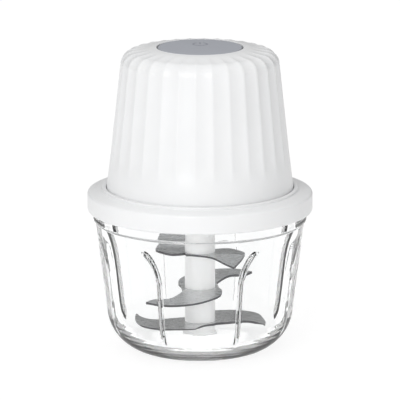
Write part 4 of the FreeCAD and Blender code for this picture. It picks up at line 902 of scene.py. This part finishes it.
def make_button():
    lathe("button_cap", (
        (0.0, 153.7),
        (2.5, 153.7, 0.2),
        (2.5, 154.9, 0.3),
        (19.56, 154.9, 0.5),
        (19.56, 151.5, 0.2),
        (23.4, 151.5, 0.2),
        (23.4, 152.6, 0.2),
        (21.36, 152.6, 0.2),
        (21.36, 157.1, 0.55),
        (0.0, 157.1),
    ), "grey_button", "button", ("power_button",), 192, False)


make_housing()
make_button()


# ---------------------------------------------------------------- studio

FLOOR_COLOUR = (0.2, 0.2, 0.2, 1.0)
FLOOR_GLOW = 0.86
TENT_STOPS = ((0.0, 0.1), (0.12, 0.14), (0.45, 0.5))
TENT_TOP = 1.1


def make_floor():
    """A pale floor that fills the main view. Most of its light is its own.

    From a camera near its level, its far edge and the darker world behind it come into view.
    """
    material, tree, shader = new_material("pale_floor")
    shader.inputs["Base Color"].default_value = FLOOR_COLOUR
    shader.inputs["Emission Color"].default_value = (1.0, 1.0, 1.0, 1.0)
    shader.inputs["Emission Strength"].default_value = FLOOR_GLOW
    shader.inputs["Specular IOR Level"].default_value = 0.0
    steer(tree, noise(tree, 30.0), shader.inputs["Roughness"], 0.85, 1.0)
    data = bpy.data.meshes.new("floor")
    mesh = bmesh.new()
    bmesh.ops.create_circle(mesh, cap_ends=True, segments=96, radius=3.0)
    mesh.to_mesh(data)
    mesh.free()
    data.materials.append(material)
    floor = bpy.data.objects.new("floor", data)
    bpy.context.scene.collection.objects.link(floor)


def make_light(name, place, size, power):
    """A soft square light that faces the object."""
    data = bpy.data.lights.new(name, "AREA")
    data.size = size
    data.energy = power
    light = bpy.data.objects.new(name, data)
    light.location = place
    light.rotation_euler = (Vector((0.0, 0.0, 0.08)) - Vector(place)).to_track_quat("-Z", "Y").to_euler()
    bpy.context.scene.collection.objects.link(light)


def make_world():
    """A soft tent: bright overhead, darker towards the horizon so that glass shows its edges."""
    world = bpy.data.worlds.new("tent")
    world.use_nodes = True
    tree = world.node_tree
    coordinates = tree.nodes.new("ShaderNodeTexCoord")
    parts = tree.nodes.new("ShaderNodeSeparateXYZ")
    ramp = tree.nodes.new("ShaderNodeValToRGB")
    for position, level in TENT_STOPS:
        stop = ramp.color_ramp.elements.new(position) if position else ramp.color_ramp.elements[0]
        stop.position = position
        stop.color = (level, level, level, 1.0)
    ramp.color_ramp.elements[-1].color = (TENT_TOP, TENT_TOP, TENT_TOP, 1.0)
    tree.links.new(coordinates.outputs["Generated"], parts.inputs["Vector"])
    tree.links.new(parts.outputs["Z"], ramp.inputs["Fac"])
    tree.links.new(ramp.outputs["Color"], tree.nodes["Background"].inputs["Color"])
    bpy.context.scene.world = world


def make_studio():
    make_floor()
    make_world()
    make_light("key_light", (-0.45, -1.45, 0.8), 0.7, 12.0)
    make_light("fill_light", (1.1, -0.9, 0.7), 0.8, 0.5)
    bpy.context.scene.view_settings.view_transform = "Standard"


make_studio()
